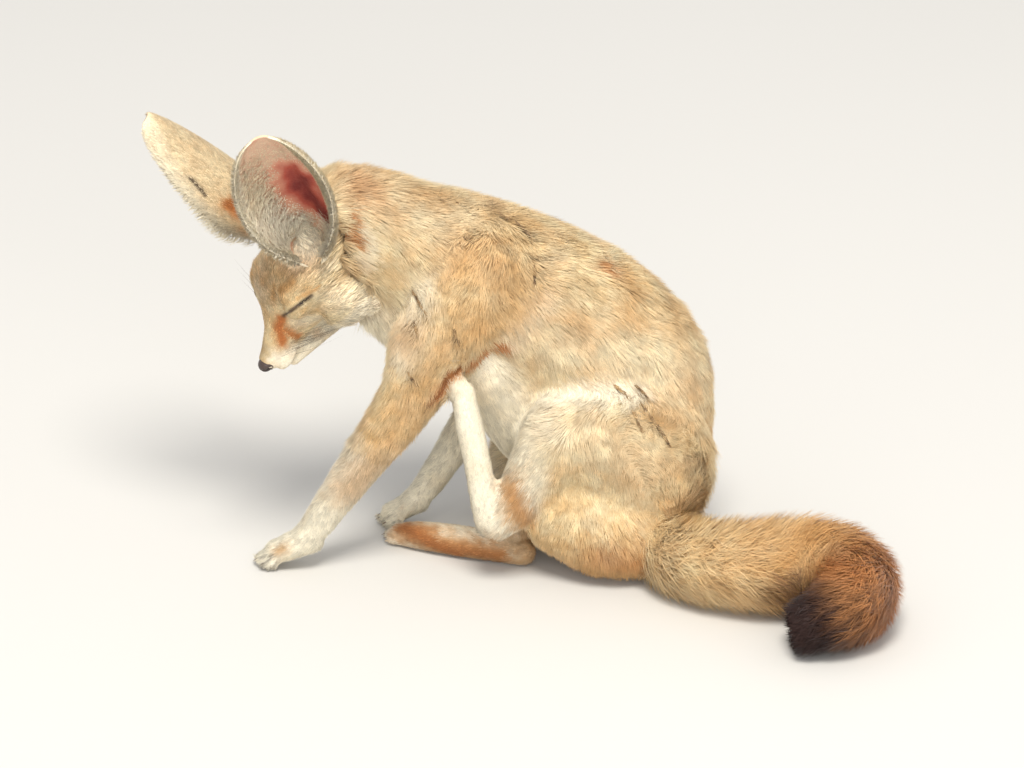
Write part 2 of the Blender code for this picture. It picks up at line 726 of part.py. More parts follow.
body = fused(
    "chest",
    [
        loft("spine", SPINE),
        loft("breast", BREAST),
        loft("belly", BELLY),
        loft("foreleg_left", FORELEG_LEFT),
        loft("foreleg_right", FORELEG_RIGHT),
        loft("thigh_left", THIGH_LEFT),
        loft("haunch_left", HAUNCH_LEFT),
        loft("shank_left", SHANK_LEFT),
        loft("thigh_right", THIGH_RIGHT),
        ellipsoid("seat", (0.4, 1.4, 2.05), (3.6, 3.8, 2.5)),
    ],
    voxel=0.3,
    smoothing=8,
    triangles=1600,
)
flat_sole(body)
right_pieces = [loft("shank", SHANK_RIGHT, UPRIGHT), loft("foot", FOOT_RIGHT)] + toes(*TOES_RIGHT)
lower_right = fused("shank_right", right_pieces, voxel=0.12, smoothing=3, triangles=460)
flat_sole(lower_right)
left_pieces = [loft("foot", FOOT_LEFT)] + toes(*TOES_LEFT)
foot_left = fused("hindfoot_left", left_pieces, voxel=0.12, smoothing=3, triangles=320)

# The tail is a core that the locks of its brush grow from, in three lengths
path = TailPath(TAIL, TAIL_BEYOND)
rng = np.random.default_rng(LOCK_SEED)
rows = []
for s in np.linspace(0, path.end, CORE_ROWS):
    rows.append((*path.value(path.centre, s), *[CORE_SHARE * np.interp(s, path.at, path.coat)] * 2))
tail = loft("tail", rows, UPRIGHT, sides=12, steps=1)
tail_nodes = []
for names, s in zip((("tail_base", "tail"), ("tail_middle", "tail_tip")), TAIL_SPLITS):
    done, tail = split(tail, names, path.value(path.centre, s), path.value(path.heading, s))
    tail_nodes.append(done)
tail_nodes.append(tail)
starts = (0.0, *TAIL_SPLITS)
stops = (TAIL_SPLITS[0] - ROOT_MARGIN, TAIL_SPLITS[1] - ROOT_MARGIN, path.end - 0.1)
for core, start, stop, ring in zip(tail_nodes, starts, stops, TAIL_RINGS):
    fused_with(core, tail_locks(path, start + LOCK_LEAD, stop, *ring, rng))
    flat_sole(core)
for obj in (foot_left, lower_right, tail_nodes[0]):
    clear_of(obj, body)
clear_of(body, head, hull_of(ears[0]), hull_of(ears[1]))
hindfoot_right = split(lower_right, ("shank_right", "hindfoot_right"), *CUTS["heel_right"])[1]

# The trunk and the limbs part at the joints of the animal
foreleg_left = carve(body, "upper_arm_left", FORELEG_LEFT)
foreleg_right = carve(body, "upper_arm_right", FORELEG_RIGHT)
chest, rump = split(body, ("chest", "rump"), *CUTS["waist"])
split(chest, ("chest", "neck"), *CUTS["neck"])
rump, thigh_left = split(rump, ("rump", "thigh_left"), *CUTS["hip_left"])
split(rump, ("rump", "thigh_right"), *CUTS["hip_right"])
split(thigh_left, ("thigh_left", "shank_left"), *CUTS["knee_left"])
forearm_left = split(foreleg_left, ("upper_arm_left", "forearm_left"), *CUTS["elbow_left"])[1]
forearm_right = split(foreleg_right, ("upper_arm_right", "forearm_right"), *CUTS["elbow_right"])[1]

# The paws take the place of the forelegs' ends
forearm_left, end_left = split(forearm_left, ("forearm_left", "end_left"), *CUTS["wrist_left"])
forearm_right, end_right = split(forearm_right, ("forearm_right", "end_right"), *CUTS["wrist_right"])
bpy.data.objects.remove(end_left)
bpy.data.objects.remove(end_right)
paw_left = flat_sole(paw("forepaw_left", (-17.0, 0.2, 2.0), (-20.0, 0.5, 0.5), 1.35))
paw_right = flat_sole(paw("forepaw_right", (-10.7, 5.4, 1.8), (-12.9, 5.6, 0.42), 1.2))
clear_of(paw_left, forearm_left)
clear_of(paw_right, forearm_right)
clear_of(hindfoot_right, paw_right)

# One colour and surface for each node
SAND, CREAM, WHITE, TAN = (0.66, 0.5, 0.33), (0.74, 0.62, 0.46), (0.8, 0.74, 0.64), (0.6, 0.38, 0.2)
FUR = {
    "head": CREAM,
    "ear_left": TAN,
    "ear_right": TAN,
    "eyelids_left": SAND,
    "eyelids_right": SAND,
    "nose": (0.03, 0.02, 0.02),
    "neck": SAND,
    "chest": SAND,
    "rump": SAND,
    "upper_arm_left": TAN,
    "upper_arm_right": TAN,
    "forearm_left": CREAM,
    "forearm_right": CREAM,
    "forepaw_left": WHITE,
    "forepaw_right": WHITE,
    "thigh_left": CREAM,
    "thigh_right": CREAM,
    "shank_left": CREAM,
    "shank_right": CREAM,
    "hindfoot_left": WHITE,
    "hindfoot_right": WHITE,
    "tail_base": SAND,
    "tail_middle": SAND,
    "tail_tip": (0.12, 0.06, 0.03),
}
for obj in bpy.data.objects:
    material = bpy.data.materials.new(obj.name + "_surface")
    material.use_nodes = True
    surface = material.node_tree.nodes["Principled BSDF"]
    surface.inputs["Base Color"].default_value = (*FUR[obj.name], 1)
    surface.inputs["Roughness"].default_value = 0.35 if obj.name == "nose" else 0.85
    surface.inputs["Metallic"].default_value = 0.0
    obj.data.materials.clear()
    obj.data.materials.append(material)
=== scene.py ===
import math

import bmesh
import bpy
import numpy as np
from mathutils import Matrix, Vector
from mathutils.bvhtree import BVHTree
from mathutils.kdtree import KDTree


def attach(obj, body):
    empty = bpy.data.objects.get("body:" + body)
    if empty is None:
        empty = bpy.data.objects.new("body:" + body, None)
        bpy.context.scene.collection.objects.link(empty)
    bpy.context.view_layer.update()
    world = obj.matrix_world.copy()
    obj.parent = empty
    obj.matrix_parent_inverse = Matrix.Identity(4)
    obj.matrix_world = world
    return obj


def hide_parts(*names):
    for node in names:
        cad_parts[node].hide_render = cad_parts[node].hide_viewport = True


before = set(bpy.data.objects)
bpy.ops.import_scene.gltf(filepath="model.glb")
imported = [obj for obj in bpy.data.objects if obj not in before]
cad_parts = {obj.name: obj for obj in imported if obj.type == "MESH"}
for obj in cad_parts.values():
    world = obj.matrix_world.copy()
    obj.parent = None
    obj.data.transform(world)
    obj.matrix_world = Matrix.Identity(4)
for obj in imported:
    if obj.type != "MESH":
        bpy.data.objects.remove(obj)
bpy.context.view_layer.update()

cm = 0.01
mm = 0.001

# Camera, floor and light

camera = {
    "target": (-0.0518, 0.02, 0.1126),
    "elevation": 27.0,
    "distance": 3.2,
    "pixelsPerMetre": 1700.0,
    "width": 1024,
    "height": 768,
    "sensor": 36.0,
}

studio = {
    "floorSize": 40.0,
    "floorColour": (0.62, 0.607, 0.58, 1),
    "floorTint": (0.64, 0.627, 0.6, 1),
    "skyColour": (0.97, 0.98, 1.0, 1),
    "skyStrength": 0.76,
    "keyPlace": (0.0, -1.3, 3.0),
    "keySize": 1.2,
    "keyPower": 99.0,
    "keyColour": (1.0, 0.96, 0.89),
    "fillPlace": (0.5, -2.8, 0.8),
    "fillSize": 2.2,
    "fillPower": 30.0,
    "fillColour": (1.0, 0.97, 0.93),
}


def cameraAxes():
    tilt = math.radians(camera["elevation"])
    return Vector((0, math.cos(tilt), -math.sin(tilt))), Vector((0, math.sin(tilt), math.cos(tilt)))


def photoRay(pixel):
    # where a pixel of the photo looks from and to
    ahead, up = cameraAxes()
    eye = Vector(camera["target"]) - ahead * camera["distance"]
    focal = camera["pixelsPerMetre"] * camera["distance"]
    across = pixel[0] - camera["width"] / 2
    rise = camera["height"] / 2 - pixel[1]
    return eye, (ahead * focal + Vector((1, 0, 0)) * across + up * rise).normalized()


def addCamera():
    ahead, up = cameraAxes()
    data = bpy.data.cameras.new("photoCamera")
    data.sensor_width = camera["sensor"]
    data.lens = camera["sensor"] * camera["distance"] * camera["pixelsPerMetre"] / camera["width"]
    obj = bpy.data.objects.new("photoCamera", data)
    bpy.context.scene.collection.objects.link(obj)
    obj.location = Vector(camera["target"]) - ahead * camera["distance"]
    obj.rotation_euler = ahead.to_track_quat("-Z", "Y").to_euler()
    bpy.context.scene.camera = obj


def addLamp(name, place, size, power, colour):
    data = bpy.data.lights.new(name, "AREA")
    data.shape = "DISK"
    data.size = size
    data.energy = power
    data.color = colour
    obj = bpy.data.objects.new(name, data)
    bpy.context.scene.collection.objects.link(obj)
    obj.location = place
    aim = Vector(camera["target"]) - Vector(place)
    obj.rotation_euler = aim.to_track_quat("-Z", "Y").to_euler()


# Shader maths: a wire is a socket that adds nodes when it is used in an expression


class Wire:
    def __init__(self, paint, socket):
        self.paint = paint
        self.socket = socket

    def maths(self, operation, first, second):
        return self.paint.node("ShaderNodeMath", {"operation": operation}, {0: first, 1: second})

    def __add__(self, other):
        return self.maths("ADD", self, other)

    def __radd__(self, other):
        return self.maths("ADD", other, self)

    def __sub__(self, other):
        return self.maths("SUBTRACT", self, other)

    def __mul__(self, other):
        return self.maths("MULTIPLY", self, other)


class Paint:
    def __init__(self, name, **surface):
        self.material = bpy.data.materials.new(name)
        self.material.use_nodes = True
        self.tree = self.material.node_tree
        self.surface = self.tree.nodes["Principled BSDF"]
        for socket, value in surface.items():
            self.surface.inputs[socket.replace("_", " ")].default_value = value

    def node(self, kind, settings=None, values=None, output=0):
        made = self.tree.nodes.new(kind)
        for name, value in (settings or {}).items():
            if name == "stops":
                self.setStops(made, value)
            else:
                setattr(made, name, value)
        for key, value in (values or {}).items():
            socket = made.inputs[key]
            if isinstance(value, Wire):
                self.tree.links.new(value.socket, socket)
            else:
                socket.default_value = value
        return Wire(self, made.outputs[output])

    def setStops(self, ramp, stops):
        for k, (place, colour) in enumerate(stops):
            elements = ramp.color_ramp.elements
            stop = elements[k] if k < len(elements) else elements.new(place)
            stop.position = place
            stop.color = colour

    def where(self):
        return self.node("ShaderNodeTexCoord", output="Object")

    def noise(self, size, detail=2.0, roughness=0.5, stretch=None):
        place = self.where()
        if stretch:
            place = self.node("ShaderNodeMapping", {}, {"Vector": place, "Scale": stretch})
        settings = {"Vector": place, "Scale": 1.0 / size, "Detail": detail, "Roughness": roughness}
        return self.node("ShaderNodeTexNoise", {}, settings, "Fac")

    def spread(self, wire, low, high, newLow=0.0, newHigh=1.0):
        values = {"Value": wire, "From Min": low, "From Max": high, "To Min": newLow, "To Max": newHigh}
        return self.node("ShaderNodeMapRange", {"interpolation_type": "SMOOTHSTEP"}, values)

    def blend(self, amount, first, second, kind="MIX"):
        made = {"data_type": "RGBA", "blend_type": kind, "clamp_factor": True}
        return self.node("ShaderNodeMix", made, {0: amount, 6: first, 7: second}, 2)

    def tone(self, colour, value):
        # a colour made lighter or darker by a number that varies
        return self.node("ShaderNodeVectorMath", {"operation": "SCALE"}, {0: colour, "Scale": value})

    def attribute(self, name, output="Color"):
        return self.node("ShaderNodeAttribute", {"attribute_name": name}, {}, output)

    def channels(self, name):
        colour = self.attribute(name)
        alpha = self.attribute(name, "Alpha")
        made = self.tree.nodes.new("ShaderNodeSeparateColor")
        self.tree.links.new(colour.socket, made.inputs[0])
        return [Wire(self, made.outputs[k]) for k in range(3)] + [alpha]

    def bump(self, height, distance, strength=1.0):
        return self.node("ShaderNodeBump", {}, {"Height": height, "Distance": distance, "Strength": strength})

    def feed(self, **sockets):
        for name, wire in sockets.items():
            self.tree.links.new(wire.socket, self.surface.inputs[name.replace("_", " ")])
        return self.material


def rgb(red, green, blue):
    # a colour as a picture shows it, made linear
    made = [((c / 255 + 0.055) / 1.055) ** 2.4 if c > 10 else c / 3295 for c in (red, green, blue)]
    return (*made, 1.0)


# Meshes from arrays


def linked(obj):
    bpy.context.scene.collection.objects.link(obj)
    return obj


def meshFrom(name, points, faces):
    mesh = bpy.data.meshes.new(name)
    mesh.from_pydata([tuple(p) for p in points], [], faces)
    mesh.validate()
    return mesh


def arrayMesh(name, points, triangles):
    mesh = bpy.data.meshes.new(name)
    mesh.vertices.add(len(points))
    mesh.vertices.foreach_set("co", np.ascontiguousarray(points, np.float32).ravel())
    mesh.loops.add(3 * len(triangles))
    mesh.loops.foreach_set("vertex_index", np.ascontiguousarray(triangles, np.int32).ravel())
    mesh.polygons.add(len(triangles))
    mesh.polygons.foreach_set("loop_start", np.arange(0, 3 * len(triangles), 3, dtype=np.int32))
    mesh.update(calc_edges=True)
    mesh.shade_smooth()
    return mesh


def setColours(mesh, name, values):
    layer = mesh.attributes.new(name, "FLOAT_COLOR", "POINT")
    layer.data.foreach_set("color", np.ascontiguousarray(values, np.float32).ravel())


def pointArray(mesh):
    points = np.empty(3 * len(mesh.vertices), np.float32)
    mesh.vertices.foreach_get("co", points)
    return points.reshape(-1, 3).astype(float)


def movePoints(mesh, points):
    mesh.vertices.foreach_set("co", points.astype(np.float32).ravel())
    mesh.update()


def triangleArray(mesh):
    mesh.calc_loop_triangles()
    corners = np.empty(3 * len(mesh.loop_triangles), np.int32)
    mesh.loop_triangles.foreach_get("vertices", corners)
    return corners.reshape(-1, 3)


def unit(vectors):
    return vectors / np.maximum(np.linalg.norm(vectors, axis=-1, keepdims=True), 1e-9)


def pointNormals(points, triangles):
    a, b, c = (points[triangles[:, k]] for k in range(3))
    face = np.cross(b - a, c - a)
    total = np.zeros_like(points)
    for k in range(3):
        np.add.at(total, triangles[:, k], face)
    return unit(total)


def settle(obj):
    # the object's mesh becomes what its modifiers make of it
    graph = bpy.context.evaluated_depsgraph_get()
    mesh = bpy.data.meshes.new_from_object(obj.evaluated_get(graph))
    obj.modifiers.clear()
    obj.data = mesh


def withModifiers(obj, *steps):
    # the steps are modifiers by kind and settings, applied in order
    for kind, settings in steps:
        made = obj.modifiers.new(kind.lower(), kind)
        for name, value in settings.items():
            setattr(made, name, value)
    settle(obj)


def softNoise(points, size, seed, waves=8):
    # smooth waves in all directions, about -1 to 1
    rng = np.random.default_rng(seed)
    total = np.zeros(len(points))
    for k in range(waves):
        way = unit(rng.normal(size=3)) * rng.uniform(0.6, 1.7) * 2 * math.pi / size
        total += np.sin(points @ way + rng.uniform(0, 2 * math.pi))
    return total / math.sqrt(waves)


def wavedLie(lie, points, amount, size, seed):
    # the coat's lie with a smooth sway
    for axis in range(3):
        lie[:, axis] += amount * softNoise(points, size, seed + axis)
    return lie


def smoothRows(rows, steps):
    rows = np.array(rows, float)
    padded = np.vstack([2 * rows[0] - rows[1], rows, 2 * rows[-1] - rows[-2]])
    made = []
    for i in range(len(rows) - 1):
        a, b, c, d = padded[i : i + 4]
        for t in np.arange(steps) / steps:
            bend, twist = 2 * a - 5 * b + 4 * c - d, 3 * b - a - 3 * c + d
            made.append(0.5 * (2 * b + (c - a) * t + bend * t**2 + twist * t**3))
    made.append(rows[-1])
    return np.array(made)


def loftShape(rows, across=(0, 1, 0), sides=28, steps=4, dome=0.8):
    # a closed tube of ellipses through the rows, x, y, z, half width and half depth in centimetres
    rows = smoothRows(rows, steps)
    tangents = np.gradient(rows[:, :3], axis=0)
    rings = []
    cap = np.radians([80, 60, 40, 20])
    turns = np.arange(sides) * 2 * math.pi / sides
    for i, row in enumerate(rows):
        ends = [0.0]
        if i == 0:
            ends = [*-cap, 0.0]
        elif i == len(rows) - 1:
            ends = [0.0, *cap[::-1]]
        t = unit(tangents[i])
        side = unit(np.array(across, float) - np.dot(across, t) * t)
        other = np.cross(t, side)
        for angle in ends:
            centre = row[:3] + t * math.sin(angle) * dome * row[3:5].mean()
            ring = np.cos(turns)[:, None] * side * row[3] + np.sin(turns)[:, None] * other * row[4]
            rings.append(centre + ring * math.cos(angle))
    points = np.vstack(rings)
    faces = []
    for r in range(len(rings) - 1):
        for k in range(sides):
            a, b = r * sides + k, r * sides + (k + 1) % sides
            faces.append((a, b, b + sides, a + sides))
    faces.append(tuple(reversed(range(sides))))
    faces.append(tuple(range(len(points) - sides, len(points))))
    return points, faces


def ballShape(centre, radii, tilt=0.0, segments=28):
    # an ellipsoid, raised by tilt about Y, in degrees
    bm = bmesh.new()
    bmesh.ops.create_uvsphere(bm, u_segments=segments, v_segments=segments // 2 + 2, radius=1.0)
    stretch = Matrix.Diagonal(Vector(radii))
    raised = Matrix.Rotation(-math.radians(tilt), 3, "Y")
    bm.transform(Matrix.Translation(Vector(centre)) @ (raised @ stretch).to_4x4())
    points = np.array([v.co for v in bm.verts])
    faces = [tuple(v.index for v in f.verts) for f in bm.faces]
    bm.free()
    return points, faces


def fusedShapes(name, shapes, voxel, rounds, factor=0.5):
    # one skin over shapes given in centimetres
    points, faces = [], []
    for shapePoints, shapeFaces in shapes:
        faces += [tuple(i + len(points) for i in f) for f in shapeFaces]
        points += list(shapePoints)
    obj = linked(bpy.data.objects.new(name, meshFrom(name, np.array(points) * cm, faces)))
    remesh = {"mode": "VOXEL", "voxel_size": voxel * mm, "adaptivity": 0.0}
    smooth = {"factor": factor, "iterations": rounds}
    withModifiers(obj, ("REMESH", remesh), ("SMOOTH", smooth))
    return obj


class Skin:
    # a skin's arrays, its search tree and its flat map for the coat's colours
    def __init__(self, obj, mapTriangles=3000):
        self.obj = obj
        self.points = pointArray(obj.data)
        self.triangles = triangleArray(obj.data)
        self.normals = pointNormals(self.points, self.triangles)
        self.tree = BVHTree.FromPolygons(self.points.tolist(), self.triangles.tolist())
        self.mapTriangles = mapTriangles
        self.flatMap = None

    def corners(self):
        return [self.points[self.triangles[:, k]] for k in range(3)]

    def makeMap(self):
        twin = linked(bpy.data.objects.new("flatMap", self.obj.data.copy()))
        ratio = min(1.0, self.mapTriangles / len(self.triangles))
        withModifiers(twin, ("DECIMATE", {"ratio": ratio, "use_collapse_triangulate": True}))
        for other in bpy.context.selected_objects:
            other.select_set(False)
        bpy.context.view_layer.objects.active = twin
        twin.select_set(True)
        bpy.ops.object.mode_set(mode="EDIT")
        bpy.ops.mesh.select_all(action="SELECT")
        bpy.ops.uv.smart_project(angle_limit=math.radians(66), island_margin=0.006)
        bpy.ops.object.mode_set(mode="OBJECT")
        mesh = twin.data
        mesh.calc_loop_triangles()
        loops = np.empty(3 * len(mesh.loop_triangles), np.int32)
        mesh.loop_triangles.foreach_get("loops", loops)
        flat = np.empty(2 * len(mesh.loops), np.float32)
        mesh.uv_layers.active.data.foreach_get("uv", flat)
        self.flatPoints = pointArray(mesh)[triangleArray(mesh)]
        self.flatMap = flat.reshape(-1, 2)[loops.reshape(-1, 3)]
        tree = BVHTree.FromPolygons(pointArray(mesh).tolist(), triangleArray(mesh).tolist())
        a, b, c = self.corners()
        self.nearest = np.array([tree.find_nearest(p)[2] for p in ((a + b + c) / 3).tolist()])
        bpy.data.objects.remove(twin)

    def onMap(self, roots, faces):
        # where roots on the skin's faces lie on the flat map
        if self.flatMap is None:
            self.makeMap()
        near = self.nearest[faces]
        a, b, c = (self.flatPoints[near, k] for k in range(3))
        ab, ac, ap = b - a, c - a, roots - a
        aa, bb, cc = (ab * ab).sum(1), (ab * ac).sum(1), (ac * ac).sum(1)
        pa, pc = (ap * ab).sum(1), (ap * ac).sum(1)
        whole = np.maximum(aa * cc - bb * bb, 1e-18)
        v = np.clip((cc * pa - bb * pc) / whole, 0, 1)
        w = np.clip((aa * pc - bb * pa) / whole, 0, 1)
        over = np.maximum(v + w, 1)
        v, w = (v / over)[:, None], (w / over)[:, None]
        uv = self.flatMap[near]
        return uv[:, 0] * (1 - v - w) + uv[:, 1] * v + uv[:, 2] * w

    def scatter(self, density, rng):
        # roots spread over the skin, density(centres) of them to a square centimetre
        a, b, c = self.corners()
        area = np.linalg.norm(np.cross(b - a, c - a), axis=1) / 2 / cm**2
        wanted = area * density((a + b + c) / 3)
        count = np.floor(wanted + rng.random(len(wanted))).astype(int)
        faces = np.repeat(np.arange(len(count)), count)
        u, v = rng.random(len(faces)), rng.random(len(faces))
        fold = u + v > 1
        u[fold], v[fold] = 1 - u[fold], 1 - v[fold]
        share = np.stack([1 - u - v, u, v], axis=1)[..., None]
        picked = self.triangles[faces]
        roots = (self.points[picked] * share).sum(1)
        normals = unit((self.normals[picked] * share).sum(1))
        return roots, normals, faces

    def closest(self, place):
        # the nearest place on the skin and its normal
        found, normal = self.tree.find_nearest(place.tolist())[:2]
        return np.array(found), np.array(normal)

    def hit(self, pixel):
        # where a pixel of the photo falls on the skin
        eye, way = photoRay(pixel)
        place = self.tree.ray_cast(eye, way)[0]
        if place is None:
            place = self.tree.find_nearest(eye + way * camera["distance"])[0]
        return np.array(place)


pieces = []


def finishPiece(obj, material, replaces=()):
    obj.data.materials.clear()
    obj.data.materials.append(material)
    obj.data.shade_smooth()
    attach(obj, "root")
    if replaces:
        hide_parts(*replaces)
    pieces.append(obj.name)


# The body's limbs in centimetres: x, y, z, half width and half depth, from the trunk outwards. They say
# which way the coat lies (way -1 is towards the trunk), how long and deep it is in millimetres, how steeply
# it stands in degrees, and from where to where along the limb its white comes in.

never = (9, 9)
always = (-2, -1)
limbs = {
    "back": {
        "rows": [
            (0.8, 3.0, 3.4, 4.3, 4.6), (1.7, 3.0, 7.2, 4.5, 5.15), (0.7, 3.4, 11.0, 4.3, 6.1),
            (-2.0, 3.7, 14.2, 4.2, 5.8), (-5.0, 3.8, 16.4, 4.2, 5.1), (-8.2, 3.7, 17.8, 4.2, 4.9),
            (-11.0, 3.4, 19.1, 4.0, 4.6), (-13.4, 3.0, 20.6, 3.7, 4.0), (-15.4, 2.7, 21.3, 3.4, 3.6),
            (-16.6, 2.2, 20.6, 3.0, 3.2),
        ],
        "way": -1, "length": 13.0, "depth": 3.4, "stand": 27.0, "white": never,
    },
    "breast": {
        "rows": [(-7.6, 3.5, 13.4, 3.2, 3.0), (-9.8, 3.4, 15.0, 3.2, 3.2), (-12.2, 3.0, 17.4, 3.0, 3.2)],
        "way": -1, "length": 13.0, "depth": 3.4, "stand": 24.0, "white": always,
    },
    "belly": {
        "rows": [(-1.5, 3.2, 6.5, 3.6, 3.6), (-3.8, 3.5, 9.6, 3.7, 3.8), (-6.0, 3.6, 12.6, 3.6, 3.6)],
        "way": -1, "length": 9.0, "depth": 2.4, "stand": 16.0, "white": always,
    },
    "forelegLeft": {
        "rows": [
            (-6.8, 1.4, 20.0, 1.8, 2.7), (-8.7, 0.7, 17.4, 2.1, 3.3), (-10.0, 0.3, 14.2, 1.8, 2.7),
            (-11.2, 0.1, 11.4, 1.5, 2.0), (-13.6, 0.0, 7.7, 1.25, 1.6), (-16.1, 0.1, 3.9, 1.1, 1.3),
            (-17.0, 0.2, 2.0, 1.1, 1.1), (-20.0, 0.5, 0.7, 1.2, 1.0),
        ],
        "way": 1, "length": 10.0, "depth": 2.6, "stand": 24.0, "white": (0.45, 0.62),
    },
    "forelegRight": {
        "rows": [
            (-6.6, 6.0, 18.6, 1.8, 2.8), (-5.4, 6.5, 15.6, 2.0, 2.6), (-4.8, 6.4, 12.6, 1.7, 2.0),
            (-6.0, 6.0, 9.6, 1.35, 1.6), (-8.0, 5.6, 6.4, 1.15, 1.35), (-9.9, 5.4, 3.2, 1.0, 1.15),
            (-10.8, 5.4, 1.7, 1.0, 1.0), (-12.9, 5.6, 0.6, 1.1, 0.9),
        ],
        "way": 1, "length": 10.0, "depth": 2.6, "stand": 24.0, "white": (0.4, 0.6),
    },
    "thighLeft": {
        "rows": [
            (2.4, 1.4, 5.0, 3.6, 4.6), (1.7, 0.7, 8.0, 3.4, 4.9), (-0.4, -0.3, 9.6, 2.8, 3.8),
            (-2.6, -1.1, 10.2, 2.0, 2.2),
        ],
        "way": 1, "length": 10.0, "depth": 3.0, "stand": 20.0, "white": (0.3, 1.4),
    },
    "rear": {
        "rows": [(4.4, 2.4, 11.0, 2.6, 2.6), (4.8, 2.8, 7.0, 2.8, 2.8), (4.2, 2.9, 3.0, 2.6, 2.6)],
        "way": 1, "length": 11.5, "depth": 3.2, "stand": 20.0, "white": never,
    },
    "haunchLeft": {
        "rows": [
            (-0.4, -1.6, 9.4, 2.8, 2.6), (0.6, -1.8, 6.4, 3.2, 3.2), (1.2, -0.6, 3.4, 3.4, 3.1),
            (1.6, 0.4, 1.2, 3.2, 2.6),
        ],
        "way": 1, "length": 10.5, "depth": 3.0, "stand": 20.0, "white": never,
    },
    "hamLeft": {
        "rows": [(-1.6, -1.0, 8.6, 2.2, 2.6), (-2.0, -0.8, 6.0, 2.6, 2.8), (-2.4, -0.4, 3.4, 2.3, 3.0)],
        "way": 1, "length": 8.0, "depth": 2.4, "stand": 18.0, "white": never,
    },
    "shankLeft": {
        "rows": [
            (-2.5, -1.0, 9.8, 1.9, 2.0), (-3.7, -1.3, 7.2, 1.7, 2.0), (-5.2, -1.7, 4.9, 1.2, 1.4),
            (-6.1, -1.9, 3.6, 0.85, 1.0),
        ],
        "way": 1, "length": 6.0, "depth": 1.8, "stand": 18.0, "white": (-0.5, 0.3),
    },
    "footLeft": {
        "rows": [
            (-6.5, -1.9, 3.7, 0.75, 0.9), (-6.8, -1.9, 5.6, 0.8, 0.95), (-7.2, -1.7, 8.0, 0.85, 0.9),
            (-7.7, -1.4, 10.4, 1.0, 0.9), (-8.0, -1.2, 12.2, 0.9, 0.75), (-8.3, -1.0, 13.6, 0.9, 0.6),
        ],
        "way": 1, "length": 3.6, "depth": 1.1, "stand": 16.0, "white": always,
    },
    "thighRight": {
        "rows": [
            (3.0, 4.6, 4.6, 3.6, 4.4), (0.6, 6.2, 4.8, 3.0, 4.2), (-2.4, 7.2, 4.4, 2.4, 3.4),
            (-4.8, 7.4, 3.4, 1.9, 2.4),
        ],
        "way": 1, "length": 10.5, "depth": 3.0, "stand": 20.0, "white": (0.6, 1.5),
    },
    "shankRight": {
        "rows": [(-4.8, 7.0, 2.8, 1.7, 1.7), (-4.8, 4.4, 2.0, 1.5, 1.5), (-4.8, 1.4, 1.5, 1.1, 1.1)],
        "way": 1, "length": 6.0, "depth": 1.8, "stand": 18.0, "white": (-0.5, 0.5),
    },
    "footRight": {
        "rows": [
            (-4.4, 0.6, 0.8, 0.95, 1.0), (-6.4, 1.1, 0.9, 0.95, 1.05), (-8.8, 1.9, 0.9, 1.0, 1.05),
            (-10.8, 2.8, 0.7, 1.05, 0.9), (-12.6, 3.6, 0.5, 0.9, 0.7),
        ],
        "way": 1, "length": 3.6, "depth": 1.1, "stand": 16.0, "white": always,
    },
}

coatBlend = {
    "closeness": 6.0, "softness": 0.05, "contrast": 1.5, "gravity": 0.14, "sway": 0.26, "swaySize": 0.035,
}

for limb in limbs.values():
    fine = smoothRows(limb["rows"], 4)
    limb["centres"] = fine[:, :3]
    limb["radii"] = fine[:, 3:5].mean(axis=1)
    limb["headings"] = unit(np.gradient(fine[:, :3], axis=0)) * limb["way"]
    limb["along"] = np.linspace(0, 1, len(fine))


def ramp(values, start, stop):
    # 0 before start and 1 after stop, with a soft change between
    if start == stop:
        return np.where(values < start, 0.0, 1.0)
    share = np.clip((values - start) / (stop - start), 0, 1)
    return share * share * (3 - 2 * share)


def hump(values, width):
    # 1 where a value is 0, falling off softly over a width
    return np.exp(-((values / width) ** 2))


def limbDistance(places, limb):
    # how far places are from each row of a limb, by the row's radius
    apart = places[:, None, :] - limb["centres"][None]
    return np.sqrt((apart**2).sum(axis=2)) / limb["radii"][None]


def coatAt(points):
    # the coat's lie, length, depth, stand and whiteness at points in metres, blended between limbs
    places = points / cm
    total = np.zeros(len(points))
    found = {key: np.zeros(len(points)) for key in ("length", "depth", "stand", "white", "back")}
    lie = np.zeros_like(points)
    for name, limb in limbs.items():
        far = limbDistance(places, limb)
        nearest = far.argmin(axis=1)
        share = 1 / (far[np.arange(len(far)), nearest] ** coatBlend["closeness"] + coatBlend["softness"])
        share = share ** coatBlend["contrast"]
        total += share
        lie += share[:, None] * limb["headings"][nearest]
        for key in ("length", "depth", "stand"):
            found[key] += share * limb[key]
        found["white"] += share * ramp(limb["along"][nearest], *limb["white"])
        found["back"] += share * (name == "back")
    for key in found:
        found[key] /= total
    lie[:, 2] -= coatBlend["gravity"] * np.linalg.norm(lie, axis=1)
    for axis in range(3):
        wave = softNoise(points, coatBlend["swaySize"], 31 + axis)
        lie[:, axis] += coatBlend["sway"] * wave * np.linalg.norm(lie, axis=1)
    found["lie"] = unit(lie)
    return found


# Body skin: the flesh nodes as one surface, drawn in by the depth of the coat

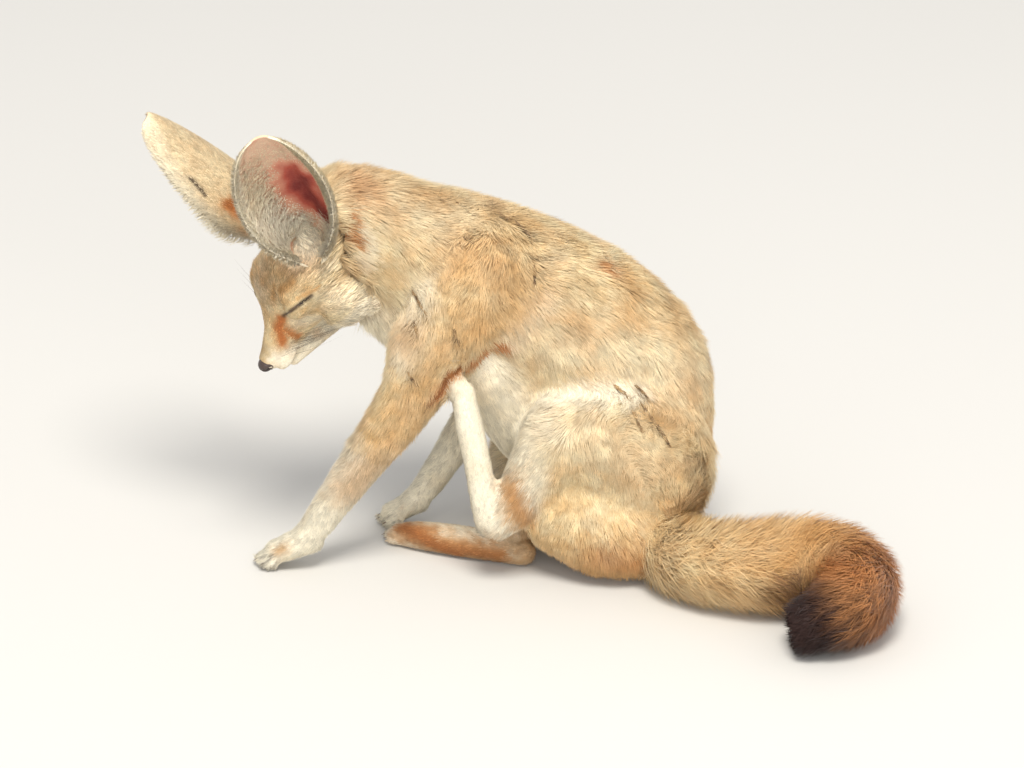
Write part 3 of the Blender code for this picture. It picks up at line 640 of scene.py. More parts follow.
bodySkinPlan = {
    "nodes": (
        "neck", "chest", "rump", "upper_arm_left", "upper_arm_right", "forearm_left", "forearm_right",
        "thigh_left", "thigh_right", "shank_left", "shank_right", "hindfoot_left", "hindfoot_right",
        "forepaw_left", "forepaw_right",
    ),
    # short lengths that make the wrists whole
    "wrists": [
        [(-15.6, 0.1, 4.7, 1.1, 1.3), (-16.7, 0.15, 2.9, 1.14, 1.16), (-18.0, 0.3, 1.5, 1.2, 0.9)],
        [(-9.4, 5.4, 4.1, 1.0, 1.16), (-10.4, 5.4, 2.5, 1.04, 1.06), (-11.5, 5.5, 1.4, 1.1, 0.84)],
    ],
    # rounds that fill the fold between the cheek and the neck
    "napes": [
        ((-12.5, 1.6, 18.7), (2.1, 1.9, 2.0)), ((-13.8, 1.9, 21.1), (1.9, 1.9, 1.9)),
        ((-12.8, 1.5, 17.1), (1.6, 1.4, 1.5)), ((-14.6, 5.2, 18.3), (2.0, 1.8, 2.0)),
        ((-15.0, 4.9, 20.2), (1.8, 1.8, 1.8)),
    ],
    "spread": 0.3,
    "voxel": 1.7,
    "smoothing": 14,
    "sinkSteps": 3,
    "floor": 0.4,
}


def spreadCopy(node, spread):
    # a merged copy of a CAD node, its surface out by a distance in millimetres
    bm = bmesh.new()
    bm.from_mesh(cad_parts[node].data)
    bmesh.ops.remove_doubles(bm, verts=bm.verts[:], dist=1e-6)
    bm.normal_update()
    points = np.array([v.co + v.normal * spread * mm for v in bm.verts]) / cm
    faces = [tuple(v.index for v in f.verts) for f in bm.faces]
    bm.free()
    return points, faces


def sunk(obj, depthAt, steps, floor):
    # the surface drawn in by a depth in millimetres, in steps that follow its normals
    mesh = obj.data
    points = pointArray(mesh)
    triangles = triangleArray(mesh)
    depth = depthAt(points) * mm
    for step in range(steps):
        points -= pointNormals(points, triangles) * (depth / steps)[:, None]
    points[:, 2] = np.maximum(points[:, 2], floor * mm)
    movePoints(mesh, points)


print("scene: body skin")
plan = bodySkinPlan
shapes = [spreadCopy(node, plan["spread"]) for node in plan["nodes"]]
shapes += [loftShape(rows) for rows in plan["wrists"]]
shapes += [ballShape(*nape) for nape in plan["napes"]]
bodySkin = fusedShapes("bodySkin", shapes, plan["voxel"], plan["smoothing"])
sunk(bodySkin, lambda points: coatAt(points)["depth"], plan["sinkSteps"], plan["floor"])
body = Skin(bodySkin)
print("scene: body skin", len(body.triangles), "triangles")

# Head skin: the same plan as the solid head, finer, with the lids, brows, muzzle and lips modelled on it.
# The head's own frame has X forward, Y left and Z up, its origin at the nose, in centimetres.

headPlan = {
    "nose": (-19.75, 0.0, 13.35),
    "yaw": 38.0,
    "pitch": 52.0,
    "roll": 9.0,
    "size": 1.08,
    "skull": [
        (-9.2, 0, 0.9, 2.0, 1.9), (-8.2, 0, 1.0, 2.7, 2.4), (-7.0, 0, 1.0, 3.1, 2.6),
        (-5.8, 0, 0.85, 3.1, 2.6), (-4.8, 0, 0.6, 2.75, 2.4), (-3.9, 0, 0.3, 2.1, 2.05),
        (-3.1, 0, 0.05, 1.5, 1.6), (-2.2, 0, -0.15, 1.1, 1.2), (-1.2, 0, -0.2, 0.85, 0.85),
        (-0.55, 0, -0.15, 0.62, 0.62),
    ],
    "jaw": [
        (-6.6, 0, -2.1, 2.3, 1.2), (-5.2, 0, -2.15, 1.9, 1.0), (-3.8, 0, -2.0, 1.3, 0.75),
        (-2.4, 0, -1.75, 0.85, 0.5), (-1.2, 0, -1.45, 0.55, 0.36),
    ],
    "pairs": [
        ((-6.0, 2.1, -0.9), (2.2, 1.5, 1.9), 0),
        ((-6.6, 2.3, -2.1), (1.5, 1.3, 1.3), 0),
        ((-4.4, 1.5, 1.75), (1.1, 0.9, 0.75), -20),
        ((-1.3, 0.5, -0.65), (0.95, 0.5, 0.5), 0),
        ((-4.1, 1.75, 1.15), (1.05, 0.72, 0.72), 0),
    ],
    "voxel": 0.8,
    "smoothing": 7,
    # the closed lids' slit in pixels of the photo, and the way across it, up the upper lid
    "slitPixels": [(283.5, 316.0), (291.0, 311.0), (298.0, 306.0), (305.0, 300.5), (311.5, 296.0)],
    "lidRise": (-0.58, -0.81),
    "mouth": [
        (-0.35, 0.75, -0.95), (-1.2, 1.05, -1.05), (-2.2, 1.41, -1.2), (-3.0, 1.7, -1.25),
        (-3.6, 1.92, -1.05),
    ],
}


def headMatrix():
    yaw, pitch, roll = (math.radians(headPlan[key]) for key in ("yaw", "pitch", "roll"))
    forward = Vector((-math.cos(pitch) * math.cos(yaw), -math.cos(pitch) * math.sin(yaw), -math.sin(pitch)))
    level = Vector((math.sin(yaw), -math.cos(yaw), 0))
    left = level * math.cos(roll) + forward.cross(level) * math.sin(roll)
    turn = Matrix((forward, left, forward.cross(left))).transposed()
    place = Matrix.Translation(Vector(headPlan["nose"]) * cm)
    return place @ turn.to_4x4() @ Matrix.Scale(headPlan["size"], 4)


headPlace = np.array(headMatrix())


def fromHead(points):
    # places in the head's frame, in centimetres, to the world in metres
    return np.asarray(points, float) * cm @ headPlace[:3, :3].T + headPlace[:3, 3]


def toHead(points):
    return (np.asarray(points, float) - headPlace[:3, 3]) @ np.linalg.inv(headPlace[:3, :3]).T / cm


def onLeft(places):
    # places in the head's frame with those of the right side mirrored to the left
    return places * np.where(places[:, 1:2] < 0, [1, -1, 1], [1, 1, 1])


def lineDistance(points, line):
    # how far each point is from a line of points, and how far along it the nearest place is, 0 to 1
    line = np.asarray(line, float)
    best = np.full(len(points), 1e9)
    along = np.zeros(len(points))
    for k in range(len(line) - 1):
        span = line[k + 1] - line[k]
        share = np.clip((points - line[k]) @ span / max(span @ span, 1e-12), 0, 1)
        far = np.linalg.norm(points - line[k] - share[:, None] * span, axis=1)
        nearer = far < best
        best[nearer] = far[nearer]
        along[nearer] = (k + share[nearer]) / (len(line) - 1)
    return best, along


# Folds of the face: a line on one side of the head, its half width and its height, in centimetres. The
# folds of the lids run beside the slit, at an offset in pixels of the photo.
faceFolds = {
    "lidSlit": {"offset": 0.0, "width": 0.08, "height": -0.14},
    "upperLidRim": {"offset": 2.6, "width": 0.09, "height": 0.05},
    "lowerLidRim": {"offset": -2.6, "width": 0.09, "height": 0.05},
    "upperLidFold": {"offset": 7.5, "width": 0.1, "height": -0.07},
    "lowerLidFold": {"offset": -7.0, "width": 0.12, "height": -0.03},
    "tearFold": {"line": [(-3.0, 1.55, 0.74), (-2.6, 1.35, 0.62)], "width": 0.09, "height": -0.05},
    "lips": {"line": headPlan["mouth"], "width": 0.07, "height": -0.1},
    "upperLip": {
        "line": [(-0.5, 0.7, -0.8), (-1.3, 1.0, -0.85), (-2.2, 1.35, -0.98), (-3.0, 1.66, -1.0)],
        "width": 0.16, "height": 0.05,
    },
    "cheekFold": {
        "line": [(-2.6, 1.5, -0.5), (-3.5, 1.95, -0.55), (-4.6, 2.55, -0.7), (-5.6, 3.0, -1.1)],
        "width": 0.14, "height": -0.05,
    },
    "browRidge": {
        "line": [(-3.3, 0.95, 1.5), (-4.1, 1.35, 2.05), (-5.0, 1.75, 2.35)], "width": 0.3, "height": 0.06,
    },
    "noseBridge": {"line": [(-0.9, 0.0, 0.5), (-3.2, 0.0, 1.4)], "width": 0.2, "height": 0.04},
}


def lidLine(seen, offset):
    # the slit moved across by an offset, where it falls on the head, in the head's own frame
    found = []
    for pixel in headPlan["slitPixels"]:
        eye, way = photoRay([at + offset * rise for at, rise in zip(pixel, headPlan["lidRise"])])
        found.append(seen.ray_cast(eye, way)[0])
    return [tuple(row) for row in toHead(found)]


earCup = {"centre": (-6.9, 2.3, 3.3), "radii": (2.0, 1.8, 1.4), "inside": (-1.35, -0.9)}


def inEars(places):
    # how far each point of the head is within the ears' cups, 0 to 1
    apart = (onLeft(places) - earCup["centre"]) / earCup["radii"]
    return ramp(-np.linalg.norm(apart, axis=1), *earCup["inside"])


# The depth of the coat on the head in millimetres: at the nose, and what the rest adds to it
headDepths = {"nose": 0.3, "back": 0.9, "cheek": 1.9, "ears": 4.5}


def headDepth(places):
    back = headDepths["back"] * ramp(-places[:, 0], 1.5, 7.0)
    cheek = ramp(-places[:, 0], 3.5, 6.5) * ramp(np.abs(places[:, 1]), 1.4, 3.0)
    cheek *= headDepths["cheek"] * ramp(-places[:, 2], -1.2, 0.6)
    return headDepths["nose"] + back + cheek + headDepths["ears"] * inEars(places)


print("scene: head skin")
shapes = [loftShape(headPlan["skull"], sides=36), loftShape(headPlan["jaw"], sides=30)]
for centre, radii, tilt in headPlan["pairs"]:
    for side in (1, -1):
        shapes.append(ballShape((centre[0], side * centre[1], centre[2]), radii, tilt))
headSkin = fusedShapes("headSkin", shapes, headPlan["voxel"], headPlan["smoothing"])
mesh = headSkin.data
places = pointArray(mesh) / cm
triangles = triangleArray(mesh)
places -= pointNormals(places, triangles) * (headDepth(places) * mm / cm / headPlan["size"])[:, None]
mirrored = onLeft(places)
normals = pointNormals(places, triangles)
seen = BVHTree.FromPolygons(fromHead(places).tolist(), triangles.tolist())
headPlan["slit"] = lidLine(seen, 0.0)
for fold in faceFolds.values():
    far, along = lineDistance(mirrored, fold.get("line") or lidLine(seen, fold["offset"]))
    ends = 0.35 + 0.65 * np.sin(np.clip(along, 0.02, 0.98) * math.pi) ** 0.5
    places += normals * (fold["height"] * hump(far, fold["width"]) * ends)[:, None]
movePoints(mesh, fromHead(places))
head = Skin(headSkin)
print("scene: head skin", len(head.triangles), "triangles")

# Markings of skin and coat alike, each a soft line through pixels of the photo, where they fall on the skin


def mark(tone, amount, radius, *pixels):
    # the radius is in millimetres
    return {"tone": tone, "amount": amount, "radius": radius, "pixels": pixels}


# Besides the coat's own markings, some of these are painted shade and painted highlight, each noted where it
# stands
bodyMarksAndPaintedLight = [
    mark("orange", 0.75, 3.4, (436, 394), (454, 374), (476, 354), (498, 340)),
    # a dark line in the crease behind the arm: painted shade
    mark("dark", 0.55, 2.0, (432, 398), (446, 382), (462, 364)),
    mark("tan", 0.55, 9, (424, 398), (412, 430), (398, 455)),
    # a white band along the top of the thigh: painted highlight
    mark("white", 0.95, 13, (530, 414), (556, 396), (592, 386), (630, 386)),
    mark("white", 0.3, 26, (550, 334), (620, 350), (684, 372)),
    mark("white", 0.25, 24, (560, 430), (620, 440), (650, 470)),
    mark("white", 0.25, 22, (350, 196), (400, 208), (440, 220)),
    mark("orange", 0.34, 11, (334, 166), (350, 188)),
    mark("white", 0.6, 6, (352, 222), (358, 240), (354, 258)),
    mark("orange", 0.7, 1.9, (343, 210), (345, 224), (350, 239)),
    mark("dark", 0.3, 1.6, (408, 276), (399, 297), (384, 320)),
    mark("orange", 0.3, 10, (600, 548), (640, 556), (668, 540)),
    mark("white", 0.55, 9, (536, 294), (520, 318), (505, 336)),
    mark("white", 0.7, 12, (418, 282), (412, 318), (405, 350)),
    mark("orange", 0.5, 4, (590, 262), (600, 267)),
    mark("tan", 0.7, 6, (614, 272), (628, 290)),
    mark("tan", 0.62, 20, (450, 250), (500, 262), (515, 290), (470, 330)),
    mark("tan", 0.9, 9, (513, 484), (518, 503), (526, 520)),
    mark("orange", 0.2, 6, (515, 488), (520, 503), (526, 516)),
    mark("tan", 0.9, 11, (404, 528), (420, 534), (440, 546), (500, 556)),
    mark("orange", 0.7, 6.5, (404, 528), (420, 534), (440, 546), (460, 554)),
    # a dark band along the hind foot's lower edge: painted shade
    mark("dark", 0.3, 6, (404, 534), (424, 545), (450, 556), (480, 563)),
    mark("orange", 0.6, 7, (455, 549), (500, 556)),
    mark("tan", 0.6, 7, (496, 538), (512, 546)),
    mark("tan", 0.7, 4, (255, 541), (266, 541)),
    # the short dark lines below run between the toes: painted shade in the gaps
    mark("dark", 0.7, 1.1, (256, 562), (263, 555)),
    mark("dark", 0.7, 1.1, (264, 566), (271, 558)),
    mark("dark", 0.5, 1.0, (273, 567), (279, 560)),
    mark("dark", 0.5, 1.0, (384, 520), (392, 514)),
    mark("dark", 0.5, 1.0, (388, 528), (397, 521)),
    mark("tan", 0.85, 24, (535, 548), (600, 566), (680, 562)),
    # a dark band along the bottom of the thigh: painted shade
    mark("dark", 0.16, 16, (520, 560), (600, 580), (680, 575)),
    # a dark band along the hind foot's lower edge: painted shade
    mark("dark", 0.25, 7, (404, 534), (440, 552), (500, 562)),
    mark("tan", 0.6, 13, (452, 330), (424, 378), (384, 446), (352, 486)),
]

# Places where the coat parts and from which the tufts turn away; the skin there is painted dark, partly the
# coat's dark roots and partly painted shade in the gaps
partings = [
    mark("dark", 0.6, radius, *pixels)
    for radius, *pixels in (
        (2.0, (614, 387), (627, 399)),
        (2.0, (634, 386), (645, 398)),
        (2.2, (639, 404), (650, 418)),
        (2.0, (631, 411), (640, 428)),
        (2.4, (651, 420), (660, 431), (666, 441)),
        (2.4, (413, 289), (419, 299), (425, 309)),
        (2.2, (454, 204), (464, 212), (474, 219)),
        (2.4, (482, 208), (494, 214), (506, 221)),
        (2.4, (457, 240), (464, 238), (471, 242)),
        (2.4, (514, 224), (522, 231), (530, 240)),
        (2.2, (523, 253), (530, 256), (537, 259)),
        (2.4, (533, 266), (534, 274), (534, 282)),
        (2.2, (598, 252), (606, 262), (613, 271)),
        (1.8, (432, 196), (440, 203)),
        (1.8, (556, 236), (566, 246)),
        (2.0, (453, 328), (458, 343)),
        (2.0, (409, 371), (417, 383)),
        (1.8, (416, 320), (418, 332)),
    )
]
bodyMarksAndPaintedLight += [dict(part, radius=0.4 * part["radius"]) for part in partings]

# Behind the haunch the coat is longer and stands more, by shares and degrees, and covers the crease
rearCrease = {"pixels": [(700, 452), (699, 480), (692, 507)], "radius": 13, "stand": 16, "growth": 0.9}

# Besides the face's own markings, some of these are painted shade and painted light, each noted where it
# stands
headMarksAndPaintedLight = [
    mark("orange", 0.85, 3.3, (281, 319), (279, 329), (282, 341)),
    mark("orange", 0.7, 2.6, (284, 331), (297, 338)),
    mark("tan", 0.6, 5.0, (279, 316), (276, 334), (282, 346)),
    mark("dark", 0.5, 0.8, (290, 343), (303, 337)),
    mark("dark", 0.45, 0.8, (296, 351), (312, 341)),
    mark("dark", 0.35, 0.8, (298, 331), (316, 326)),
    mark("tan", 0.45, 9, (264, 283), (286, 276), (310, 268)),
    mark("orange", 0.6, 4, (256, 241), (258, 252)),
    mark("tan", 0.9, 4, (290, 286), (280, 293)),
    mark("tan", 0.8, 3, (274, 289), (273, 300)),
    mark("tan", 0.8, 1.3, (284, 309), (298, 299), (316, 289)),
    mark("white", 1.0, 6, (278, 358), (291, 354), (306, 343)),
    mark("dark", 0.13, 7, (282, 352), (296, 347), (310, 338)),
    mark("white", 0.5, 10, (330, 300), (350, 305), (362, 318)),
    mark("white", 0.6, 7, (300, 322), (318, 318)),
    mark("dark", 0.35, 1.1, (329, 308), (343, 311)),
    mark("dark", 0.28, 1.8, (312, 343), (323, 335), (334, 327), (348, 321)),
    # a dark patch on the bridge just behind the nose: painted shade
    mark("dark", 0.3, 3, (262, 355), (265, 349)),
    mark("tan", 0.7, 7, (349, 336), (360, 333)),
    # a pale patch on the forehead, where the near ear's shadow falls: painted light
    mark("white", 0.5, 10, (264, 252), (257, 272), (260, 292)),
    mark("white", 0.45, 7, (288, 262), (300, 272), (322, 268)),
    mark("white", 0.8, 6, (352, 222), (358, 240), (354, 258)),
]

toneChannel = {"white": 0, "tan": 1, "orange": 2, "dark": 3}


def setLines(marks, skin):
    for mark in marks:
        mark["line"] = [skin.hit(pixel) for pixel in mark["pixels"]]


def addMarks(tones, points, marks, seed):
    rough = 1 + 0.22 * softNoise(points, 0.006, seed)
    for mark in marks:
        far, along = lineDistance(points, mark["line"])
        amount = mark["amount"] * hump(far * rough, mark["radius"] * mm)
        channel = toneChannel[mark["tone"]]
        tones[:, channel] = np.maximum(tones[:, channel], amount)
        if mark["tone"] == "orange":
            # orange hair stands among tan hair, never among white
            spread = np.minimum(1.0, 1.5 * amount)
            tones[:, 1] = np.maximum(tones[:, 1], spread)
            tones[:, 0] *= 1 - spread
    return tones


bodyShares = {"whiteWave": 0.12, "tan": 0.16, "tanWave": 0.24, "darkBack": 0.05}


def bodyTones(points, coat):
    tones = np.zeros((len(points), 4))
    tones[:, 0] = np.clip(coat["white"] + bodyShares["whiteWave"] * softNoise(points, 0.03, 5), 0, 1)
    tan = bodyShares["tan"] + bodyShares["tanWave"] * softNoise(points, 0.045, 6)
    tones[:, 1] = np.clip(tan, 0, 1) * (1 - tones[:, 0])
    tones[:, 3] = np.clip(bodyShares["darkBack"] * coat["back"] * ramp(points[:, 2], 0.12, 0.22), 0, 1)
    return addMarks(tones, points, bodyMarksAndPaintedLight, 8)


headShares = {
    "chin": 0.85, "muzzle": 0.9, "cups": 0.95, "crown": 0.34, "bridge": 0.8, "tanWave": 0.16,
    "noseTop": 0.22, "slit": 0.9, "lips": 0.85,
}


def headTones(points):
    places = toHead(points)
    mirrored = fromHead(onLeft(places))
    tones = np.zeros((len(points), 4))
    chin = ramp(-places[:, 2], 0.5, 1.3) * ramp(places[:, 0], -7.5, -5.5)
    muzzle = ramp(places[:, 0], -2.6, -1.2) * ramp(-places[:, 2], -0.3, 0.25)
    cups = inEars(places)
    white = np.maximum(headShares["chin"] * chin, headShares["muzzle"] * muzzle)
    tones[:, 0] = np.maximum(white, headShares["cups"] * cups)
    crown = ramp(places[:, 2], 1.2, 2.6)
    bridge = hump(places[:, 1], 0.6) * ramp(places[:, 2], -0.2, 0.4)
    tan = headShares["crown"] * np.maximum(crown, headShares["bridge"] * bridge)
    tones[:, 1] = (tan + headShares["tanWave"] * softNoise(points, 0.016, 9)) * (1 - cups)
    # a grey band over the muzzle just behind the nose: painted shade
    tones[:, 3] = headShares["noseTop"] * hump(places[:, 0] + 0.75, 0.35) * ramp(places[:, 2], 0, 0.3)
    for key, line, width in (("slit", headPlan["slit"], 0.13), ("lips", headPlan["mouth"], 0.08)):
        far, along = lineDistance(toHead(mirrored), line)
        tones[:, 3] = np.maximum(tones[:, 3], headShares[key] * hump(far, width))
    return addMarks(np.clip(tones, 0, 1), mirrored, headMarksAndPaintedLight, 12)


# The coat: tapered tufts with three sides, in clumps whose tips draw together

coatShades = {
    "sand": rgb(222, 193, 144),
    "cream": rgb(234, 215, 172),
    "white": rgb(244, 236, 214),
    "tan": rgb(206, 158, 98),
    "orange": rgb(184, 102, 50),
    "dark": rgb(48, 27, 22),
    "under": rgb(216, 190, 152),
    "fleck": rgb(120, 92, 62),
}


def mixedTones(paint, marks):
    # the coat's colour from its markings
    shades = coatShades
    speckle = paint.noise(0.012, 3.0, 0.6)
    colour = paint.blend(paint.spread(speckle, 0.35, 0.65), shades["sand"], shades["cream"])
    for wire, tone in zip(marks, ("white", "tan", "orange", "dark")):
        colour = paint.blend(wire, colour, shades[tone])
    return colour


def coatPaint(name, paintedRootShade=0.64, uneven=0.16, level=1.0):
    paint = Paint(name, Roughness=0.62, Specular_IOR_Level=0.28, Sheen_Weight=0.12, Sheen_Roughness=0.5)
    marks = paint.channels("marks")
    along, own, fleck, clump = paint.channels("strand")
    colour = mixedTones(paint, marks)
    # underfur shows at the roots, and some tufts end in dark guard hair
    colour = paint.blend(paint.spread(along, 0.0, 0.5, 0.45, 0.0), colour, coatShades["under"], "MULTIPLY")
    tip = paint.spread(along, 0.55, 0.95)
    colour = paint.blend(tip * fleck, colour, coatShades["fleck"])
    # each tuft is darker towards its root: painted shade between the tufts, beside the underfur's own colour
    shade = paint.spread(along, 0.0, 0.6, paintedRootShade, 1.0) * (1.0 + (own - 0.5) * uneven)
    shade = shade * (0.84 + clump * 0.32) * level
    grain = paint.noise(0.0007, 1.0, 0.5)
    return paint.feed(
        Base_Color=paint.tone(colour, shade * (0.9 + grain * 0.2)),
        Roughness=paint.spread(own, 0.0, 1.0, 0.5, 0.75),
    )


def skinPaint(name, dark=0.68):
    paint = Paint(name, Roughness=0.75, Specular_IOR_Level=0.25)
    marks = paint.channels("marks")
    colour = mixedTones(paint, marks)
    fine = paint.noise(0.0011, 3.0, 0.65)
    strands = paint.noise(0.003, 4.0, 0.7, (1.0, 1.0, 0.35))
    # the skin under the coat is darkened except where it is white: painted shade between the tufts
    shade = (dark + marks[0] * (0.9 - dark)) * (0.7 + fine * 0.6) * (0.8 + strands * 0.4)
    return paint.feed(
        Base_Color=paint.tone(colour, shade),
        Roughness=paint.spread(fine, 0.2, 0.8, 0.6, 0.9),
        Normal=paint.bump(fine + strands * 0.6, 0.0006, 0.7),
    )


def tuftMesh(name, stations, halfWidths, sides, ups, normals, follow, flatness=0.5):
    # stations are the points of each tuft's middle line, the last its tip. The shading follows the skin
    # beneath, on the tuft's outer faces outwards and on its inner face inwards.
    count, steps = stations.shape[:2]
    rings = stations[:, :-1]
    wide = halfWidths[..., None]
    across = sides[:, None, :] * wide
    lifted = ups * wide * flatness
    ring = np.stack([rings - across, rings + lifted, rings + across], axis=2)
    ring[:, :, (0, 2)] -= 0.35 * lifted[:, :, None]
    points = np.concatenate([ring.reshape(count, -1, 3), stations[:, -1:]], axis=1)
    triangles, flat = [], []
    levels = np.linspace(0, 1, steps)
    for i in range(steps - 2):
        for k in range(3):
            a, b = 3 * i + k, 3 * i + (k + 1) % 3
            triangles += [(a, b, b + 3), (a, b + 3, a + 3)]
            low, high, left, right = levels[i], levels[i + 1], k / 3, (k + 1) / 3
            flat += [((left, low), (right, low), (right, high)), ((left, low), (right, high), (left, high))]
    last = 3 * (steps - 2)
    for k in range(3):
        triangles.append((last + k, last + (k + 1) % 3, last + 3))
        flat.append(((k / 3, levels[-2]), ((k + 1) / 3, levels[-2]), ((k + 0.5) / 3, 1.0)))
    each = points.shape[1]
    corners = (np.array(triangles)[None] + (np.arange(count) * each)[:, None, None]).reshape(-1, 3)
    mesh = arrayMesh(name, points.reshape(-1, 3), corners)
    # one shading direction for each corner of the six: left, top and right, seen from outside and inside
    ways = np.stack([-sides, normals * 0, sides], axis=1) * (1 - follow)
    outward, inward = unit(ways + normals[:, None] * follow), unit(ways - normals[:, None] * follow)
    ways = np.concatenate([outward, inward], axis=1)
    picks = []
    for face, corner in enumerate(triangles):
        under = 3 if (face // 2 % 3 == 2 if face < 6 * (steps - 2) else face % 3 == 2) else 0
        picks += [under + (1 if c == last + 3 else c % 3) for c in corner]
    # the inner face is parted from the outer ones along the tuft's two edges
    ends = np.empty(len(mesh.edges) * 2, np.int32)
    mesh.edges.foreach_get("vertices", ends)
    ends = ends.reshape(-1, 2) % each
    tip = (ends == each - 1).any(axis=1)
    kinds = ends.min(axis=1) % 3
    along = np.where(tip, kinds != 1, (ends[:, 0] % 3 == ends[:, 1] % 3) & (kinds != 1))
    sharp = mesh.attributes.new("sharp_edge", "BOOLEAN", "EDGE")
    sharp.data.foreach_set("value", along)
    layer = mesh.attributes.new("custom_normal", "FLOAT_VECTOR", "CORNER")
    layer.data.foreach_set("vector", np.ascontiguousarray(ways[:, picks], np.float32).ravel())
    return mesh, np.array(flat), each


def bakeMap(mesh, flat, places, size=0.003):
    # each tuft is a patch of the coat's flat map at its root's place
    layer = mesh.uv_layers.new(name="OFBake")
    patch = (flat.reshape(-1, 2) - 0.5) * size
    places = np.clip(places, size, 1 - size)
    uv = (places[:, None] + patch[None]).reshape(-1, 2)
    layer.data.foreach_set("uv", np.ascontiguousarray(uv, np.float32).ravel())


def clumpPull(roots, spacing, rng):
    # each root's offset from the middle of its clump, and a number of the clump's own
    centres = roots[rng.random(len(roots)) < min(1.0, spacing)]
    tree = KDTree(len(centres))
    for k, place in enumerate(centres.tolist()):
        tree.insert(place, k)
    tree.balance()
    found = np.array([tree.find(place)[1] for place in roots.tolist()])
    return roots - centres[found], rng.random(len(centres))[found]


# The least height over the floor, in millimetres, of the tufts' middle lines and of their faces
coatFloor = {"line": 0.5, "mesh": 0.3}

# How far the tufts of a piece vary, as shares, and how many of them can end in dark hair
coatSpread = {"length": (0.72, 1.12), "stand": (0.75, 1.25), "width": (0.75, 1.25), "flecked": 0.5}


def coatPiece(name, skin, density, look, tonesAt, plan, material, course=None):
    # look(points, normals) gives lie, length, stand and how many stay; plan holds sizes in millimetres;
    # course gives the tufts' middle lines where they don't run straight over the skin
    rng = np.random.default_rng(plan["seed"])
    roots, normals, faces = skin.scatter(density, rng)
    lie, length, stand, keep = look(roots, normals)
    chosen = keep > rng.random(len(roots))
    roots, normals, faces, lie, length, stand = (
        values[chosen] for values in (roots, normals, faces, lie, length, stand)
    )
    count = len(roots)
    lie = unit(lie - normals * (lie * normals).sum(1)[:, None])
    across = np.cross(lie, normals)
    swing = rng.normal(0, plan["swing"], count)[:, None]
    lie = unit(lie + across * swing)
    across = np.cross(lie, normals)
    offset, clump = clumpPull(roots, 1 / plan["clump"], rng)
    offset -= normals * (offset * normals).sum(1)[:, None]
    length = length * mm * rng.uniform(*coatSpread["length"], count)
    rise = np.radians(stand * rng.uniform(*coatSpread["stand"], count))
    shares = plan["stations"]
    bends = plan["bends"]
    ups = np.repeat(normals[:, None], len(shares) - 1, axis=1)
    if course:
        stations, ups = course(roots, length, shares, rng)
        across = np.cross(unit(stations[-1] - stations[0]), ups[:, -1])
    else:
        stations = [roots - normals * plan["sink"] * mm]
        for k in range(1, len(shares)):
            angle = (rise * bends[k - 1])[:, None]
            step = (length * (shares[k] - shares[k - 1]))[:, None]
            stations.append(stations[-1] + (lie * np.cos(angle) + normals * np.sin(angle)) * step)
    for k in range(1, len(shares)):
        stations[k] = stations[k] - offset * plan["pull"] * shares[k] ** 1.5
        stations[k][:, 2] = np.maximum(stations[k][:, 2], coatFloor["line"] * mm)
    stations = np.stack(stations, axis=1)
    wide = plan["width"] * mm * rng.uniform(*coatSpread["width"], count)
    halfWidths = wide[:, None] / 2 * np.array(plan["widths"])[None]
    mesh, flat, each = tuftMesh(name, stations, halfWidths, across, ups, normals, plan.get("follow", 0.6))
    points = pointArray(mesh)
    if points[:, 2].min() < coatFloor["mesh"] * mm:
        points[:, 2] = np.maximum(points[:, 2], coatFloor["mesh"] * mm)
        mesh.vertices.foreach_set("co", points.astype(np.float32).ravel())
    tones, fleck = tonesAt(roots)
    tones = tonesAt(points)[0] if plan.get("tonesAlong") else np.repeat(tones, each, axis=0)
    setColours(mesh, "marks", tones)
    level = np.array([share for share in shares[:-1] for k in range(3)] + [1.0])
    strand = np.empty((count, each, 4))
    strand[..., 0] = level[None]
    strand[..., 1] = rng.random(count)[:, None]
    strand[..., 2] = (fleck * (rng.random(count) < coatSpread["flecked"]))[:, None]
    strand[..., 3] = clump[:, None]
    setColours(mesh, "strand", strand.reshape(-1, 4))
    bakeMap(mesh, flat, skin.onMap(roots, faces))
    finishPiece(linked(bpy.data.objects.new(name, mesh)), material)
    print("scene:", name, count, "tufts,", len(mesh.polygons), "triangles")


setLines(bodyMarksAndPaintedLight, body)
setLines(headMarksAndPaintedLight, head)
# The last number is each material's level. The face fur and the fine fur of the ears and legs are set darker
# than the coat, partly to match their real tone and partly as painted shade
coatMaterial = coatPaint("coatFur", level=0.97)
faceMaterial = coatPaint("faceFur", 0.66, 0.5, 0.95)
tailMaterial = coatPaint("tailFur", 0.95, 0.18, 1.02)
fineMaterial = coatPaint("fineFur", 0.86, 0.2, 0.84)
skinMaterial = skinPaint("skinUnderFur")

coat = coatAt(body.points)
setColours(bodySkin.data, "marks", bodyTones(body.points, coat))
finishPiece(bodySkin, skinMaterial, bodySkinPlan["nodes"])
setColours(headSkin.data, "marks", headTones(head.points))
finishPiece(headSkin, skinMaterial, ("head", "eyelids_left", "eyelids_right"))

setLines([*partings, rearCrease], body)


# How bare a parting is and how wide its bare core, how far the tufts turn away and how much more they stand
partingPlan = {"bare": 0.9, "core": 0.42, "turn": 0.9, "stand": 10}


def parted(points, lie, stand):
    # how much coat is left near the partings, and the lie turned away from them
    left = np.ones(len(points))
    for part in partings:
        far, along = lineDistance(points, part["line"])
        near = hump(far, part["radius"] * mm)
        left *= 1 - partingPlan["bare"] * hump(far, partingPlan["core"] * part["radius"] * mm)
        line = np.array(part["line"])
        middle = line[np.clip((along * (len(line) - 1)).round().astype(int), 0, len(line) - 1)]
        away = unit(points - middle)
        lie += away * near[:, None] * partingPlan["turn"]
        stand += near * partingPlan["stand"]
    return left


